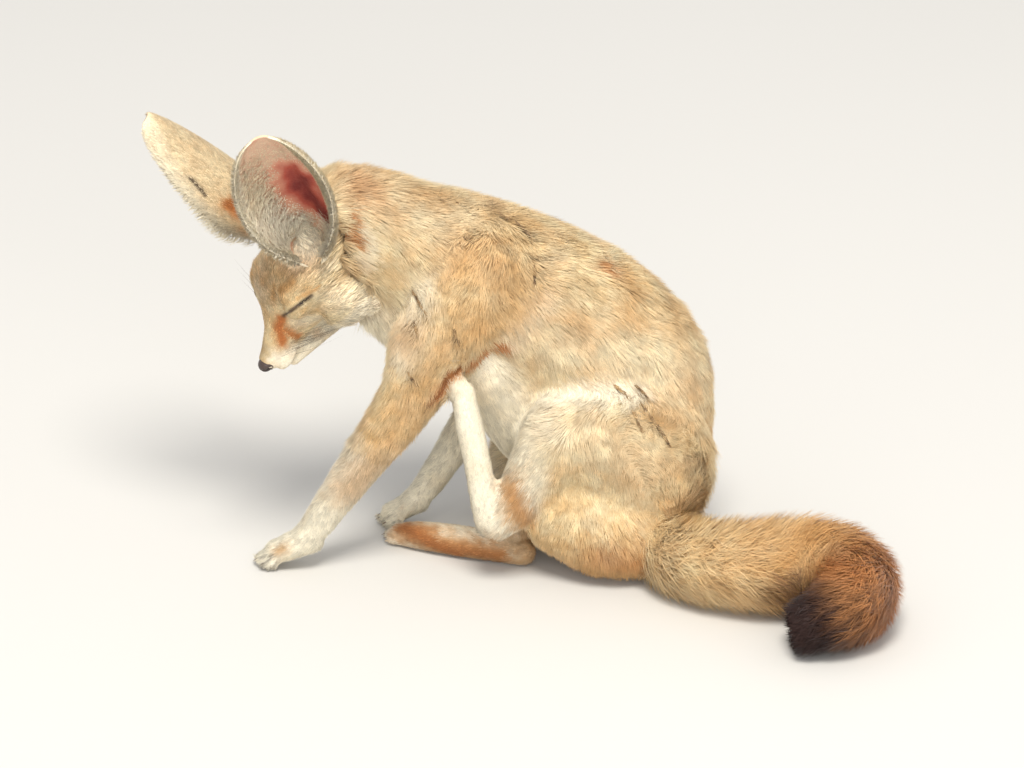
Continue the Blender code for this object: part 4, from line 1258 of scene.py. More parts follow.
bodyCoatPlan = {
    "seed": 101, "swing": 0.16, "clump": 28, "pull": 0.48, "sink": 0.6, "width": 0.7,
    "stations": (0.0, 1.0), "bends": (0.72,), "widths": (1.0,), "density": 190.0,
}


headCover = {"under": 0.8, "near": 5.0}


def nearHead(points, normals):
    # roots within the head, or on the neck's end and turned towards the head
    places = toHead(points)
    near = np.flatnonzero((places[:, 0] > -12.0) & (np.abs(places[:, 1]) < 6) & (np.abs(places[:, 2]) < 6))
    covered = np.zeros(len(points), bool)
    for k in near:
        place, normal, face, far = head.tree.find_nearest(points[k].tolist())
        out = points[k] - np.array(place)
        inside = float(np.dot(out, np.array(normal))) < headCover["under"] * mm
        facing = float(np.dot(normals[k], -out)) > 0.7 * far
        covered[k] = inside or (facing and far < headCover["near"] * mm)
    return covered


def bodyLook(points, normals):
    coat = coatAt(points)
    lie, stand = coat["lie"], coat["stand"].copy()
    keep = parted(points, lie, stand)
    far, along = lineDistance(points, rearCrease["line"])
    cover = hump(far, rearCrease["radius"] * mm)
    stand += rearCrease["stand"] * cover
    # nothing grows where the tuft would lie under the fox or inside the head
    keep *= np.where(points[:, 2] < 0.0025, 0.0, 1.0) * ~nearHead(points, normals)
    return lie, coat["length"] * (1 + rearCrease["growth"] * cover), stand, keep


def bodyCoatTones(points):
    coat = coatAt(points)
    tones = bodyTones(points, coat)
    fleck = np.clip(0.5 * coat["back"] * ramp(softNoise(points, 0.03, 14), 0.0, 1.0), 0, 1)
    return tones, fleck * (1 - tones[:, 0])


def limbShare(points):
    # which limb each point belongs to, as an index into the list of limbs
    best = [limbDistance(points / cm, limb).min(axis=1) for limb in limbs.values()]
    return np.array(best).argmin(axis=0)


limbNames = list(limbs)
lowLimbs = [limbNames.index(name) for name in ("shankLeft", "footLeft", "shankRight", "footRight")]
foreLimbs = [limbNames.index(name) for name in ("forelegLeft", "forelegRight")]


def isLow(points):
    # the lower legs and feet, whose coat is fine and short
    owner = limbShare(points)
    low = np.isin(owner, lowLimbs)
    fore = np.isin(owner, foreLimbs) & (points[:, 2] < 0.085)
    return low | fore


print("scene: body coat")
bodyAreas = {
    "coatNeckAndChest": lambda p: p[:, 0] < -0.105,
    "coatShoulders": lambda p: (p[:, 0] >= -0.105) & (p[:, 0] < -0.055),
    "coatFlanks": lambda p: (p[:, 0] >= -0.055) & (p[:, 0] < 0.0),
    "coatRump": lambda p: p[:, 0] >= 0.0,
}
for k, (name, inside) in enumerate(bodyAreas.items()):
    plan = dict(bodyCoatPlan, seed=bodyCoatPlan["seed"] + k)
    coatPiece(
        name, body, lambda p, inside=inside: plan["density"] * (inside(p) & ~isLow(p)), bodyLook,
        bodyCoatTones, plan, coatMaterial,
    )

legCoatPlan = {
    "seed": 111, "swing": 0.14, "clump": 9, "pull": 0.3, "sink": 0.4, "width": 0.7,
    "stations": (0.0, 1.0), "bends": (0.8,), "widths": (1.0,), "density": 165.0,
    # the greatest length at the floor and what a metre of height adds to it, and the greatest stand
    "length": 4.2, "growth": 60, "stand": 20.0,
}


def legLook(points, normals):
    coat = coatAt(points)
    most = legCoatPlan["length"] + legCoatPlan["growth"] * np.maximum(points[:, 2] - 0.02, 0)
    keep = np.where(points[:, 2] < 0.0012, 0.0, 1.0)
    length, stand = np.minimum(coat["length"], most), np.minimum(coat["stand"], legCoatPlan["stand"])
    return coat["lie"], length, stand, keep


coatPiece(
    "coatLegsAndFeet", body, lambda p: legCoatPlan["density"] * isLow(p), legLook, bodyCoatTones,
    legCoatPlan, fineMaterial,
)

# Dark wisps along each parting, at the height of the coat: partly dark hair, partly painted shade in the
# coat's gaps
wispPlan = {
    "seed": 117, "swing": 0.14, "clump": 2, "pull": 0.2, "sink": -2.5, "width": 0.3, "length": 5.0,
    "stations": (0.0, 0.5, 1.0), "bends": (0.5, -0.3), "widths": (0.8, 1.0), "density": 330.0,
}


def partingNear(points):
    # how far each point is from a parting, in millimetres, and the way that the parting runs
    best = np.full(len(points), 1e9)
    way = np.zeros_like(points)
    for part in partings:
        line = np.array(part["line"])
        far, along = lineDistance(points, line)
        nearer = far < best
        best[nearer] = far[nearer]
        step = np.minimum((along[nearer] * (len(line) - 1)).astype(int), len(line) - 2)
        way[nearer] = unit(np.diff(line, axis=0))[step]
    return best / mm, way


def wispLook(points, normals):
    far, way = partingNear(points)
    length = wispPlan["length"] * (0.75 + 0.25 * softNoise(points, 0.004, 71))
    return way, length, np.full(len(points), 12.0), ramp(-far, -1.1, -0.3)


def wispTones(points):
    tones = np.zeros((len(points), 4))
    tones[:, 1] = 0.6
    tones[:, 3] = np.clip(0.62 + 0.2 * softNoise(points, 0.005, 72), 0, 1)
    return tones, np.zeros(len(points))


coatPiece(
    "coatPartings", body, lambda p: wispPlan["density"] * (partingNear(p)[0] < 1.2), wispLook, wispTones,
    wispPlan, coatMaterial,
)

# Head coat: fine short hair on the face, tufts on the cheeks and nape

faceCoatPlan = {
    "seed": 121, "swing": 0.16, "clump": 9, "pull": 0.35, "sink": 0.25, "width": 0.5,
    "stations": (0.0, 1.0), "bends": (1.0,), "widths": (1.0,), "follow": 0.5, "density": 380.0,
    "length": 1.5, "growth": 3.4, "onLids": 0.4, "stand": 13, "rise": 8, "sway": 0.14,
}
cheekCoatPlan = {
    "seed": 122, "swing": 0.16, "clump": 12, "pull": 0.4, "sink": 0.4, "width": 0.75,
    "stations": (0.0, 0.5, 1.0), "bends": (1.2, 0.35), "widths": (0.7, 1.0), "follow": 0.6, "density": 118.0,
    "length": 5.5, "growth": 5.5, "stand": 22.0, "rise": 14.0, "sway": 0.2,
}


def cheekShare(places):
    # 0 on the face and 1 on the cheeks, nape and throat
    side = ramp(-places[:, 0], 4.3, 6.2) * ramp(np.abs(places[:, 1]) - 0.5 * places[:, 2], 1.6, 2.8)
    nape = ramp(-places[:, 0], 7.0, 8.2)
    throat = ramp(-places[:, 2], 1.4, 2.2) * ramp(-places[:, 0], 3.4, 5.0)
    return np.clip(side + nape + throat, 0, 1)


def headLie(places):
    # from the nose back over the brow, down and out over the cheeks
    side = np.sign(places[:, 1])
    wide = np.clip(np.abs(places[:, 1]) / 2.5, 0, 1)
    low = np.clip(0.4 - places[:, 2] * 0.5, 0, 1)
    lie = np.stack([-np.ones(len(places)), 0.35 * side * wide, -0.45 * low * wide], axis=1)
    # the hair parts round the lids
    for turn in (1, -1):
        centre = np.array([-4.1, turn * 1.9, 1.05])
        away = places - centre
        near = hump(np.linalg.norm(away, axis=1), 1.15)
        lie += unit(away) * near[:, None] * 0.8
    return lie @ headPlace[:3, :3].T


def bareness(places):
    # where the lids, lips and nose have no hair
    slit, along = lineDistance(onLeft(places), headPlan["slit"])
    lips, along = lineDistance(onLeft(places), headPlan["mouth"])
    nose = np.linalg.norm(places - [-0.35, 0, -0.1], axis=1)
    return ramp(slit, 0.13, 0.3) * ramp(lips, 0.03, 0.12) * ramp(nose, 0.5, 0.7)


def lidShare(places):
    # 0 on the lids and 1 away from them
    slit, along = lineDistance(onLeft(places), headPlan["slit"])
    return ramp(slit, 0.15, 0.9)


def faceLook(points, normals):
    plan, places = faceCoatPlan, toHead(points)
    back = ramp(-places[:, 0], 0.6, 5.5)
    length = plan["length"] + plan["growth"] * back
    length *= plan["onLids"] + (1 - plan["onLids"]) * lidShare(places)
    lie = wavedLie(headLie(places), points, plan["sway"], 0.02, 41)
    keep = bareness(places) * (1 - 0.85 * cheekShare(places))
    return lie, length, plan["stand"] + plan["rise"] * back, keep


def cheekLook(points, normals):
    plan, places = cheekCoatPlan, toHead(points)
    length = plan["length"] + plan["growth"] * ramp(-places[:, 0], 4.5, 7.5)
    lie = headLie(places)
    # in the ears' cups it is shorter and points up
    cups = inEars(places)
    length *= 1 - 0.5 * cups
    upward = np.stack([np.full(len(points), -0.3), 0.4 * np.sign(places[:, 1]), np.ones(len(points))], axis=1)
    lie = lie * (1 - cups)[:, None] + upward @ headPlace[:3, :3].T * cups[:, None]
    lie = wavedLie(lie, points, plan["sway"], 0.025, 44)
    keep = bareness(places) * np.maximum(cheekShare(places), cups)
    return lie, length, plan["stand"] + plan["rise"] * cups, keep


def headCoatTones(points):
    places = toHead(points)
    fleck = (0.15 + 0.35 * ramp(places[:, 2], 0.2, 2.0)) * (1 - inEars(places))
    return headTones(points), fleck


print("scene: head coat")
for name, look, plan in (
    ("coatFace", faceLook, faceCoatPlan), ("coatCheeksAndNape", cheekLook, cheekCoatPlan),
):
    coatPiece(
        name, head, lambda p: np.full(len(p), plan["density"]), look, headCoatTones, plan, faceMaterial,
    )

# Ears: leaf-shaped cups with a rolled rim and ridges inside. Each row of the profile has a share of the
# length, half of the bend in degrees and half of the width along it in centimetres.

earPlan = {
    "length": 9.5,
    "profile": [
        (-0.10, 160, 2.4), (0.02, 145, 2.9), (0.14, 126, 3.3), (0.28, 104, 3.4), (0.43, 85, 3.25),
        (0.58, 72, 3.0), (0.72, 64, 2.6), (0.84, 60, 2.1), (0.93, 56, 1.55), (0.98, 54, 1.0),
        (1.00, 54, 0.55),
    ],
    "steps": 7,
    "across": 61,
    "inset": 0.06,
    "thickness": 0.17,
    "lean": 0.9,
    "back": 1.4,
    "left": {
        "base": (-6.9, 2.5, 2.7), "tip": (-0.47, 0.35, 1.0), "facing": (0.5, 0.8, 0.2), "outer": -1,
        "fringe": 0.3, "marks": [mark("orange", 0.9, 3.2, (343, 203), (347, 222), (350, 240))],
    },
    "right": {
        "base": (-6.9, -2.5, 2.7), "tip": (-0.18, -0.38, 1.0), "facing": (0.9, -0.5, 0.1), "outer": 1,
        "fringe": 1.0,
        "marks": [
            mark("dark", 0.9, 1.3, (193, 180), (200, 187), (208, 197)),
            mark("white", 0.6, 8.0, (150, 125), (164, 156), (184, 188), (206, 212), (232, 234)),
            mark("orange", 0.8, 4.5, (232, 206), (242, 214)),
        ],
    },
}


def headWay(way):
    # a direction in the head's frame, in the world
    return unit(fromHead(way[None]) - fromHead(np.zeros((1, 3))))[0]


class Ear:
    # an ear's shell over a grid: u runs across it from -1 to 1, v along it from 0 to 1
    def __init__(self, side):
        plan, place = earPlan, earPlan[side]
        name = "earSkin" + side.capitalize()
        axis = unit(np.array(place["tip"], float))
        front = np.array(place["facing"], float)
        front = unit(front - (front @ axis) * axis)
        across = np.cross(front, axis)
        rows = smoothRows(plan["profile"], plan["steps"])
        turns = np.linspace(-1, 1, plan["across"])
        inner, outer = [], []
        for along, angle, halfArc in rows:
            radius = halfArc / math.radians(angle)
            reach = along * plan["length"] / headPlan["size"]
            start = np.array(place["base"]) + axis * reach - front * (plan["back"] - plan["lean"] * along**2)
            centre = start + front * radius
            bend = turns * math.radians(angle)
            way = np.sin(bend)[:, None] * across - np.cos(bend)[:, None] * front
            edge = np.abs(turns) ** 8
            # ridges run up the inside, and the rim rolls a little outwards
            ridge = 0.035 * np.cos(turns * 15) * (1 - edge) * math.sin(math.pi * min(1, max(0, along))) ** 0.5
            roll = 0.06 * edge
            near = radius + plan["inset"] + roll - ridge
            far = near + ridge + plan["thickness"] * (1 - 0.62 * edge)
            inner.append(centre + way * near[:, None])
            outer.append(centre + way * far[:, None])
        self.side = side
        self.outerSide = place["outer"]
        self.rows = len(rows)
        self.columns = len(turns)
        self.u = np.tile(turns, self.rows)
        self.v = np.repeat(np.clip(rows[:, 0], 0, 1), self.columns)
        points = np.vstack(inner + outer)
        n, m = self.columns, self.rows
        faces = []
        for i in range(m - 1):
            for j in range(n - 1):
                a = i * n + j
                b = m * n + a
                faces += [(a, a + 1, a + n + 1, a + n), (b, b + n, b + n + 1, b + 1)]
            for j in (0, n - 1):
                a, b = i * n + j, m * n + i * n + j
                quad = (a, a + n, b + n, b)
                faces.append(quad if j == 0 else quad[::-1])
        for j in range(n - 1):
            for i in (0, m - 1):
                a, b = i * n + j, m * n + i * n + j
                quad = (a, b, b + 1, a + 1)
                faces.append(quad if i == 0 else quad[::-1])
        mesh = meshFrom(name, fromHead(points), faces)
        bm = bmesh.new()
        bm.from_mesh(mesh)
        bmesh.ops.recalc_face_normals(bm, faces=bm.faces[:])
        bm.to_mesh(mesh)
        bm.free()
        self.obj = linked(bpy.data.objects.new(name, mesh))
        # a corner's place on the grid, and whether it lies on the outer wall
        self.across = np.concatenate([self.u, self.u]) * self.outerSide
        self.up = np.concatenate([self.v, self.v])
        self.isBack = np.repeat([0.0, 1.0], len(self.u))
        self.skin = Skin(self.obj, 1500)
        self.tipWay = headWay(axis)
        self.frontWay = headWay(front)
        self.sideWay = headWay(across * self.outerSide)

    def places(self, faces, roots):
        # grid places of roots on the skin's faces, from the nearest corner
        corners = self.skin.triangles[faces]
        far = np.linalg.norm(self.skin.points[corners] - roots[:, None], axis=2)
        weight = 1 / (far + 1e-6)
        weight /= weight.sum(axis=1, keepdims=True)
        return [(values[corners] * weight).sum(axis=1) for values in (self.across, self.up, self.isBack)]

    def scatter(self, density, rng):
        # roots on the ear, whose grid places are kept for the look
        roots, normals, faces = self.skin.scatter(density, rng)
        self.known = self.places(faces, roots)
        return roots, normals, faces

    def onMap(self, roots, faces):
        return self.skin.onMap(roots, faces)


def rimShare(across, start, stop):
    # the rim's furry band, wider on the cup's outer side
    return ramp(np.abs(across) + 0.2 * ramp(across, 0.2, 0.7), start, stop)


# White inside the ear, low in it, on its rim, and on its back; tan and orange at the foot of the back
earShares = {
    "white": 0.5, "whiteLow": 0.5, "whiteRim": 0.4, "whiteBack": 0.25, "whiteBackRim": 0.5,
    "tan": 0.12, "tanFoot": 0.4, "orangeFoot": 0.35,
}


def earTones(across, up, isBack, points, marks):
    shares = earShares
    tones = np.zeros((len(points), 4))
    edge = rimShare(across, 0.76, 0.95)
    inside = shares["white"] + shares["whiteLow"] * ramp(-up, -0.5, -0.2) + shares["whiteRim"] * edge
    outside = shares["whiteBack"] + shares["whiteBackRim"] * edge
    tones[:, 0] = np.clip((1 - isBack) * inside + isBack * outside, 0, 1)
    tones[:, 1] = isBack * (shares["tan"] + shares["tanFoot"] * ramp(-up, -0.32, -0.05)) * (1 - edge)
    tones[:, 2] = isBack * shares["orangeFoot"] * hump(up - 0.04, 0.07) * (1 - edge)
    return addMarks(tones, points, marks, 52)


def rednessAt(across, up, isBack, points):
    # the red inside lies deep in the cup and towards its outer side
    centre = 0.22 + 0.1 * up + 0.25 * ramp(-up, -0.4, -0.1)
    width = 0.2 + 0.2 * ramp(up, 0.05, 0.3)
    core = hump(across - centre, width) * ramp(-up, -0.84, -0.5) * ramp(up, 0.04, 0.16)
    wave = 0.1 * softNoise(points, 0.012, 51)
    return np.clip((core + wave) * (1 - isBack), 0, 1)


def earPaint():
    paint = Paint("earSkin", Roughness=0.55, Specular_IOR_Level=0.35)
    white, tan, orange = paint.channels("marks")[:3]
    redness, back = paint.channels("earPlace")[:2]
    fine = paint.noise(0.0014, 3.0, 0.6)
    veins = paint.noise(0.006, 3.0, 0.75, (1.0, 1.0, 0.5))
    stops = [
        (0.0, rgb(206, 170, 144)), (0.35, rgb(196, 136, 112)), (0.7, rgb(162, 72, 58)),
        (1.0, rgb(112, 36, 33)),
    ]
    inside = paint.node("ShaderNodeValToRGB", {"stops": stops}, {"Fac": redness + (veins - 0.5) * 0.25})
    fur = paint.blend(white, coatShades["cream"], coatShades["white"])
    fur = paint.blend(orange, paint.blend(tan, fur, coatShades["tan"]), coatShades["orange"])
    colour = paint.blend(back, inside, fur)
    return paint.feed(
        Base_Color=paint.tone(colour, 0.86 + fine * 0.32),
        Roughness=paint.spread(veins, 0.3, 0.7, 0.45, 0.7),
        Normal=paint.bump(fine + veins, 0.0005, 0.6),
    )


earBackPlan = {
    "seed": 131, "swing": 0.12, "clump": 8, "pull": 0.25, "sink": 0.2, "width": 0.55,
    "stations": (0.0, 1.0), "bends": (1.0,), "widths": (1.0,), "follow": 0.8, "density": 240.0,
    "length": 2.8, "onBack": 1.4, "onRim": 0.9, "stand": 16, "rimStand": 14,
}
earFringePlan = {
    "seed": 133, "swing": 0.16, "clump": 7, "pull": 0.3, "sink": 0.3, "width": 0.5,
    "stations": (0.0, 0.5, 1.0), "bends": (1.3, 0.4), "widths": (1.0, 0.8), "follow": 0.75, "density": 190.0,
    "length": 4.5, "growth": 5.0, "stand": 28.0, "rimStand": 24.0,
}

print("scene: ears")
earMaterial = earPaint()
for side, node in (("left", "ear_left"), ("right", "ear_right")):
    ear = Ear(side)
    mesh = ear.obj.data
    points = ear.skin.points
    marks = earPlan[side]["marks"]
    setLines(marks, ear.skin)
    setColours(mesh, "marks", earTones(ear.across, ear.up, ear.isBack, points, marks))
    red = rednessAt(ear.across, ear.up, ear.isBack, points)
    edge = rimShare(ear.across, 0.75, 0.98)
    setColours(mesh, "earPlace", np.stack([red, np.maximum(ear.isBack, edge), ear.up, edge], axis=1))
    finishPiece(ear.obj, earMaterial, (node,))

    def shortHair(p, normals, ear=ear):
        across, up, isBack = ear.known
        red = rednessAt(across, up, isBack, p)
        rim = rimShare(across, 0.78, 0.92)
        lie = ear.tipWay + ear.sideWay * (0.35 * across)[:, None]
        keep = np.clip(isBack + rim + 0.5 * (1 - ramp(red, 0.1, 0.5)), 0, 1) * (up > 0.0)
        length = earBackPlan["length"] + earBackPlan["onBack"] * isBack + earBackPlan["onRim"] * rim
        length *= 1 - 0.4 * ramp(up, 0.8, 0.94) - 0.4 * ramp(up, 0.94, 1.0)
        return lie, length, earBackPlan["stand"] + earBackPlan["rimStand"] * rim, keep

    def longHair(p, normals, ear=ear):
        across, up, isBack = ear.known
        inner = 0.8 * ramp(-across, 0.1, 0.7) * (1 - isBack) * ramp(-up, -0.9, -0.6)
        rim = ramp(np.abs(across), 0.88, 0.97) * ramp(-up, -0.86, -0.55)
        floor = 0.7 * (1 - isBack) * ramp(-up, -0.2, -0.04) * (1 - hump(across - 0.3, 0.3))
        # the cup's hairs lie towards its middle, the rim's stand out forwards
        lie = ear.tipWay * 0.8 + ear.sideWay * (-np.sign(across) * (0.5 * (1 - isBack)))[:, None]
        lie = lie * (1 - rim)[:, None] + (ear.frontWay + ear.tipWay * 0.35) * rim[:, None]
        fringe = earPlan[ear.side]["fringe"]
        keep = np.clip(inner + rim * (0.2 + 0.8 * fringe) + floor, 0, 1) * (up > 0.0)
        length = earFringePlan["length"] + earFringePlan["growth"] * ramp(-up, -0.7, -0.1)
        length *= 1 - 0.6 * rim * (1 - fringe)
        return lie, length, earFringePlan["stand"] + earFringePlan["rimStand"] * rim, keep

    def tonesFor(p, ear=ear, marks=marks):
        near = np.array([ear.skin.tree.find_nearest(place)[2] for place in p.tolist()])
        return earTones(*ear.places(near, p), p, marks), np.zeros(len(p))

    for name, look, plan, slot in (
        ("coatEarShort", shortHair, earBackPlan, "fur_tan"),
        ("coatEarLong", longHair, earFringePlan, "fur_white"),
    ):
        coatPiece(
            name + side.capitalize(), ear, lambda p: np.full(len(p), plan["density"]), look, tonesFor,
            dict(plan, seed=plan["seed"] + len(side)), fineMaterial,
        )

# Tail: a core that the long tufts of the brush grow from

tailPlan = {
    "rows": [
        (3.2, 0.6, 2.2, 2.5, 2.5), (5.0, -2.6, 2.2, 2.75, 2.75), (7.1, -4.0, 2.5, 2.85, 2.85),
        (9.6, -4.7, 2.8, 3.0, 3.0), (12.4, -4.9, 2.9, 3.1, 3.1), (14.4, -6.1, 2.8, 3.0, 3.0),
        (14.7, -8.1, 2.6, 2.75, 2.75), (13.4, -9.7, 2.3, 2.4, 2.4), (11.9, -10.1, 1.8, 1.8, 1.8),
    ],
    "core": 0.5,
    "voxel": 1.6,
    "smoothing": 6,
}
tailCoatPlan = {
    "seed": 141, "swing": 0.16, "clump": 5, "pull": 0.06, "sink": 1.0, "width": 0.62,
    "stations": (0.0, 0.5, 1.0), "bends": (1.5, 0.3), "widths": (0.9, 1.0), "follow": 0.85, "density": 200.0,
    "tonesAlong": True, "drift": 0.34, "spread": 0.26, "length": 19,
    # how far the tufts rise to the coat's radius, least and most, and how soon
    "rise": (0.8, 1.1), "bow": 1.2,
    # how far they reach past the tail's end, and the radius of the dome there, in centimetres
    "past": 1.7, "dome": 2.0,
}

print("scene: tail")
coreRows = [(*row[:3], row[3] * tailPlan["core"], row[4] * tailPlan["core"]) for row in tailPlan["rows"]]
coreShape = loftShape(coreRows, (0, 0, 1))
tailSkin = fusedShapes("tailSkin", [coreShape], tailPlan["voxel"], tailPlan["smoothing"])
tail = Skin(tailSkin, 800)
tailFine = smoothRows(tailPlan["rows"], 10)
tailHeading = unit(np.gradient(tailFine[:, :3], axis=0))
tailAlong = np.linspace(0, 1, len(tailFine))
tailSide = unit(np.cross([0.0, 0.0, 1.0], tailHeading))
tailUp = np.cross(tailHeading, tailSide)
tailSteps = np.linalg.norm(np.diff(tailFine[:, :3], axis=0), axis=1)
tailReach = np.concatenate([[0.0], np.cumsum(tailSteps)])


def nearTail(points):
    apart = ((points[:, None, :] / cm - tailFine[None, :, :3]) ** 2).sum(axis=2)
    return apart.argmin(axis=1)


def tailPlace(points):
    near = nearTail(points)
    return tailAlong[near], tailHeading[near]


def alongTail(reach, rows):
    # the first three columns of the tail's rows, read at a reach along it in centimetres
    return np.stack([np.interp(reach, tailReach, rows[:, k]) for k in range(3)], axis=1)


def tailStations(roots, length, shares, rng):
    # the tufts follow the tail's bend as they rise to the coat's radius, and close round its end
    near = nearTail(roots)
    away = roots / cm - tailFine[near, :3]
    side, up = (away * tailSide[near]).sum(1), (away * tailUp[near]).sum(1)
    turn = np.arctan2(up, side) + rng.normal(0, tailCoatPlan["spread"], len(roots))
    core = np.hypot(side, up) / tailFine[near, 3]
    # roots on the core's end fill the middle of the tip
    top = rng.uniform(*tailCoatPlan["rise"], len(roots)) * np.clip(core / tailPlan["core"], 0, 1)
    drift = rng.normal(0, tailCoatPlan["drift"], len(roots))
    stations, ups = [], []
    for share in shares:
        reach = tailReach[near] + length / cm * share
        # past the tail's end the tufts go on by a limited length and close in a dome
        over = np.clip(reach - tailReach[-1], 0, None)
        over = tailCoatPlan["past"] * np.tanh(over / tailCoatPlan["past"])
        centre = alongTail(reach, tailFine) + over[:, None] * tailHeading[-1]
        radius = np.interp(reach, tailReach, tailFine[:, 3])
        radius = radius * np.sqrt(np.clip(1 - (over / tailCoatPlan["dome"]) ** 2, 0.03, 1))
        here = turn + drift * share
        outWay = np.cos(here)[:, None] * alongTail(reach, tailSide)
        outWay = unit(outWay + np.sin(here)[:, None] * alongTail(reach, tailUp))
        rise = core + (top - core) * (1 - (1 - share) ** tailCoatPlan["bow"])
        stations.append((centre + outWay * (radius * rise)[:, None]) * cm)
        ups.append(outWay)
    return stations, np.stack(ups[:-1], axis=1)


def tailLook(points, normals):
    along, lie = tailPlace(points)
    lie = wavedLie(lie.copy(), points, 0.16, 0.03, 61)
    length = tailCoatPlan["length"] + 4 * softNoise(points, 0.02, 64) - 3 * ramp(along, 0.85, 1.0)
    room = ramp(points[:, 2] + 0.012 * normals[:, 2], 0.006, 0.02)
    stand = 24 * (0.3 + 0.7 * room)
    return lie, length, stand, np.ones(len(points))


def tailTones(points):
    along, lie = tailPlace(points)
    tones = np.zeros((len(points), 4))
    tones[:, 1] = np.clip(0.15 + 0.75 * ramp(along, 0.15, 0.55) + 0.15 * softNoise(points, 0.02, 65), 0, 1)
    tones[:, 2] = 0.55 * ramp(along, 0.5, 0.75)
    tones[:, 3] = ramp(along + 0.03 * softNoise(points, 0.012, 66), 0.81, 0.94)
    return tones


def tailCoatTones(points):
    along, lie = tailPlace(points)
    return tailTones(points), np.clip(0.1 + 0.25 * ramp(along, 0.4, 0.6), 0, 1) * ramp(-along, -0.84, -0.76)


setColours(tailSkin.data, "marks", tailTones(tail.points))
finishPiece(tailSkin, skinMaterial)
tailAreas = {
    "coatTailBase": ("fur_sand", lambda p: tailPlace(p)[0] < 0.5),
    "coatTailTip": ("fur_dark", lambda p: tailPlace(p)[0] >= 0.5),
}
for k, (name, (slot, inside)) in enumerate(tailAreas.items()):
    coatPiece(
        name, tail, lambda p, inside=inside: tailCoatPlan["density"] * inside(p), tailLook, tailCoatTones,
        dict(tailCoatPlan, seed=tailCoatPlan["seed"] + k), tailMaterial, tailStations,
    )
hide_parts("tail_base", "tail_middle", "tail_tip")

# Nose: a moist pad with nostrils and a groove down its middle

nosePlan = {
    "shapes": [
        ((-0.28, 0, -0.08), (0.42, 0.44, 0.36)), ((-0.6, 0, 0.12), (0.4, 0.36, 0.26)),
        ((-0.4, 0.27, -0.14), (0.3, 0.24, 0.27)), ((-0.4, -0.27, -0.14), (0.3, 0.24, 0.27)),
        ((-0.3, 0, -0.42), (0.2, 0.16, 0.2)),
    ],
    "voxel": 0.3,
    "smoothing": 5,
    "nostril": [(0.02, 0.2, -0.04), (-0.06, 0.34, -0.16), (-0.22, 0.46, -0.2)],
    "nostrilWidth": 0.075,
    "nostrilDepth": 0.16,
    "swell": 1.06,
    "middle": (-0.45, 0.0, -0.1),
    "groove": [(0.16, 0, -0.05), (0.1, 0, -0.3), (-0.05, 0, -0.55)],
    "grooveWidth": 0.035,
    "grooveDepth": 0.05,
}

print("scene: nose")
shapes = [ballShape(*shape, segments=36) for shape in nosePlan["shapes"]]
noseSkin = fusedShapes("noseLeather", shapes, nosePlan["voxel"], nosePlan["smoothing"])
mesh = noseSkin.data
places = pointArray(mesh) / cm
normals = pointNormals(places, triangleArray(mesh))
hole, along = lineDistance(onLeft(places), nosePlan["nostril"])
slot, along = lineDistance(places, nosePlan["groove"])
pit = hump(hole, nosePlan["nostrilWidth"])
cut = hump(slot, nosePlan["grooveWidth"])
places -= normals * (nosePlan["nostrilDepth"] * pit + nosePlan["grooveDepth"] * cut)[:, None]
places = nosePlan["middle"] + (places - nosePlan["middle"]) * nosePlan["swell"]
movePoints(mesh, fromHead(places))
setColours(mesh, "marks", np.stack([pit, cut, pit * 0, pit * 0], axis=1))


def nosePaint():
    paint = Paint("noseLeather", Roughness=0.35, Specular_IOR_Level=0.5, Coat_Roughness=0.2)
    pit = paint.channels("marks")[0]
    place = {"Vector": paint.where(), "Scale": 2100.0}
    cells = paint.node("ShaderNodeTexVoronoi", {"feature": "F1"}, place, "Distance")
    tone = paint.noise(0.004, 3.0, 0.6)
    colour = paint.blend(tone, rgb(46, 33, 29), rgb(76, 58, 52))
    # the nostrils' pits are painted near black: painted shade in the hollows
    colour = paint.blend(pit, colour, rgb(10, 7, 7))
    return paint.feed(
        Base_Color=colour,
        Roughness=paint.spread(cells, 0.0, 0.8, 0.5, 0.3),
        Coat_Weight=paint.spread(tone, 0.3, 0.7, 0.15, 0.4),
        Normal=paint.bump(cells, 0.0003, 0.8),
    )


finishPiece(noseSkin, nosePaint(), ("nose",))

# Whiskers, lashes and claws: tapered strands along paths, by one node tree


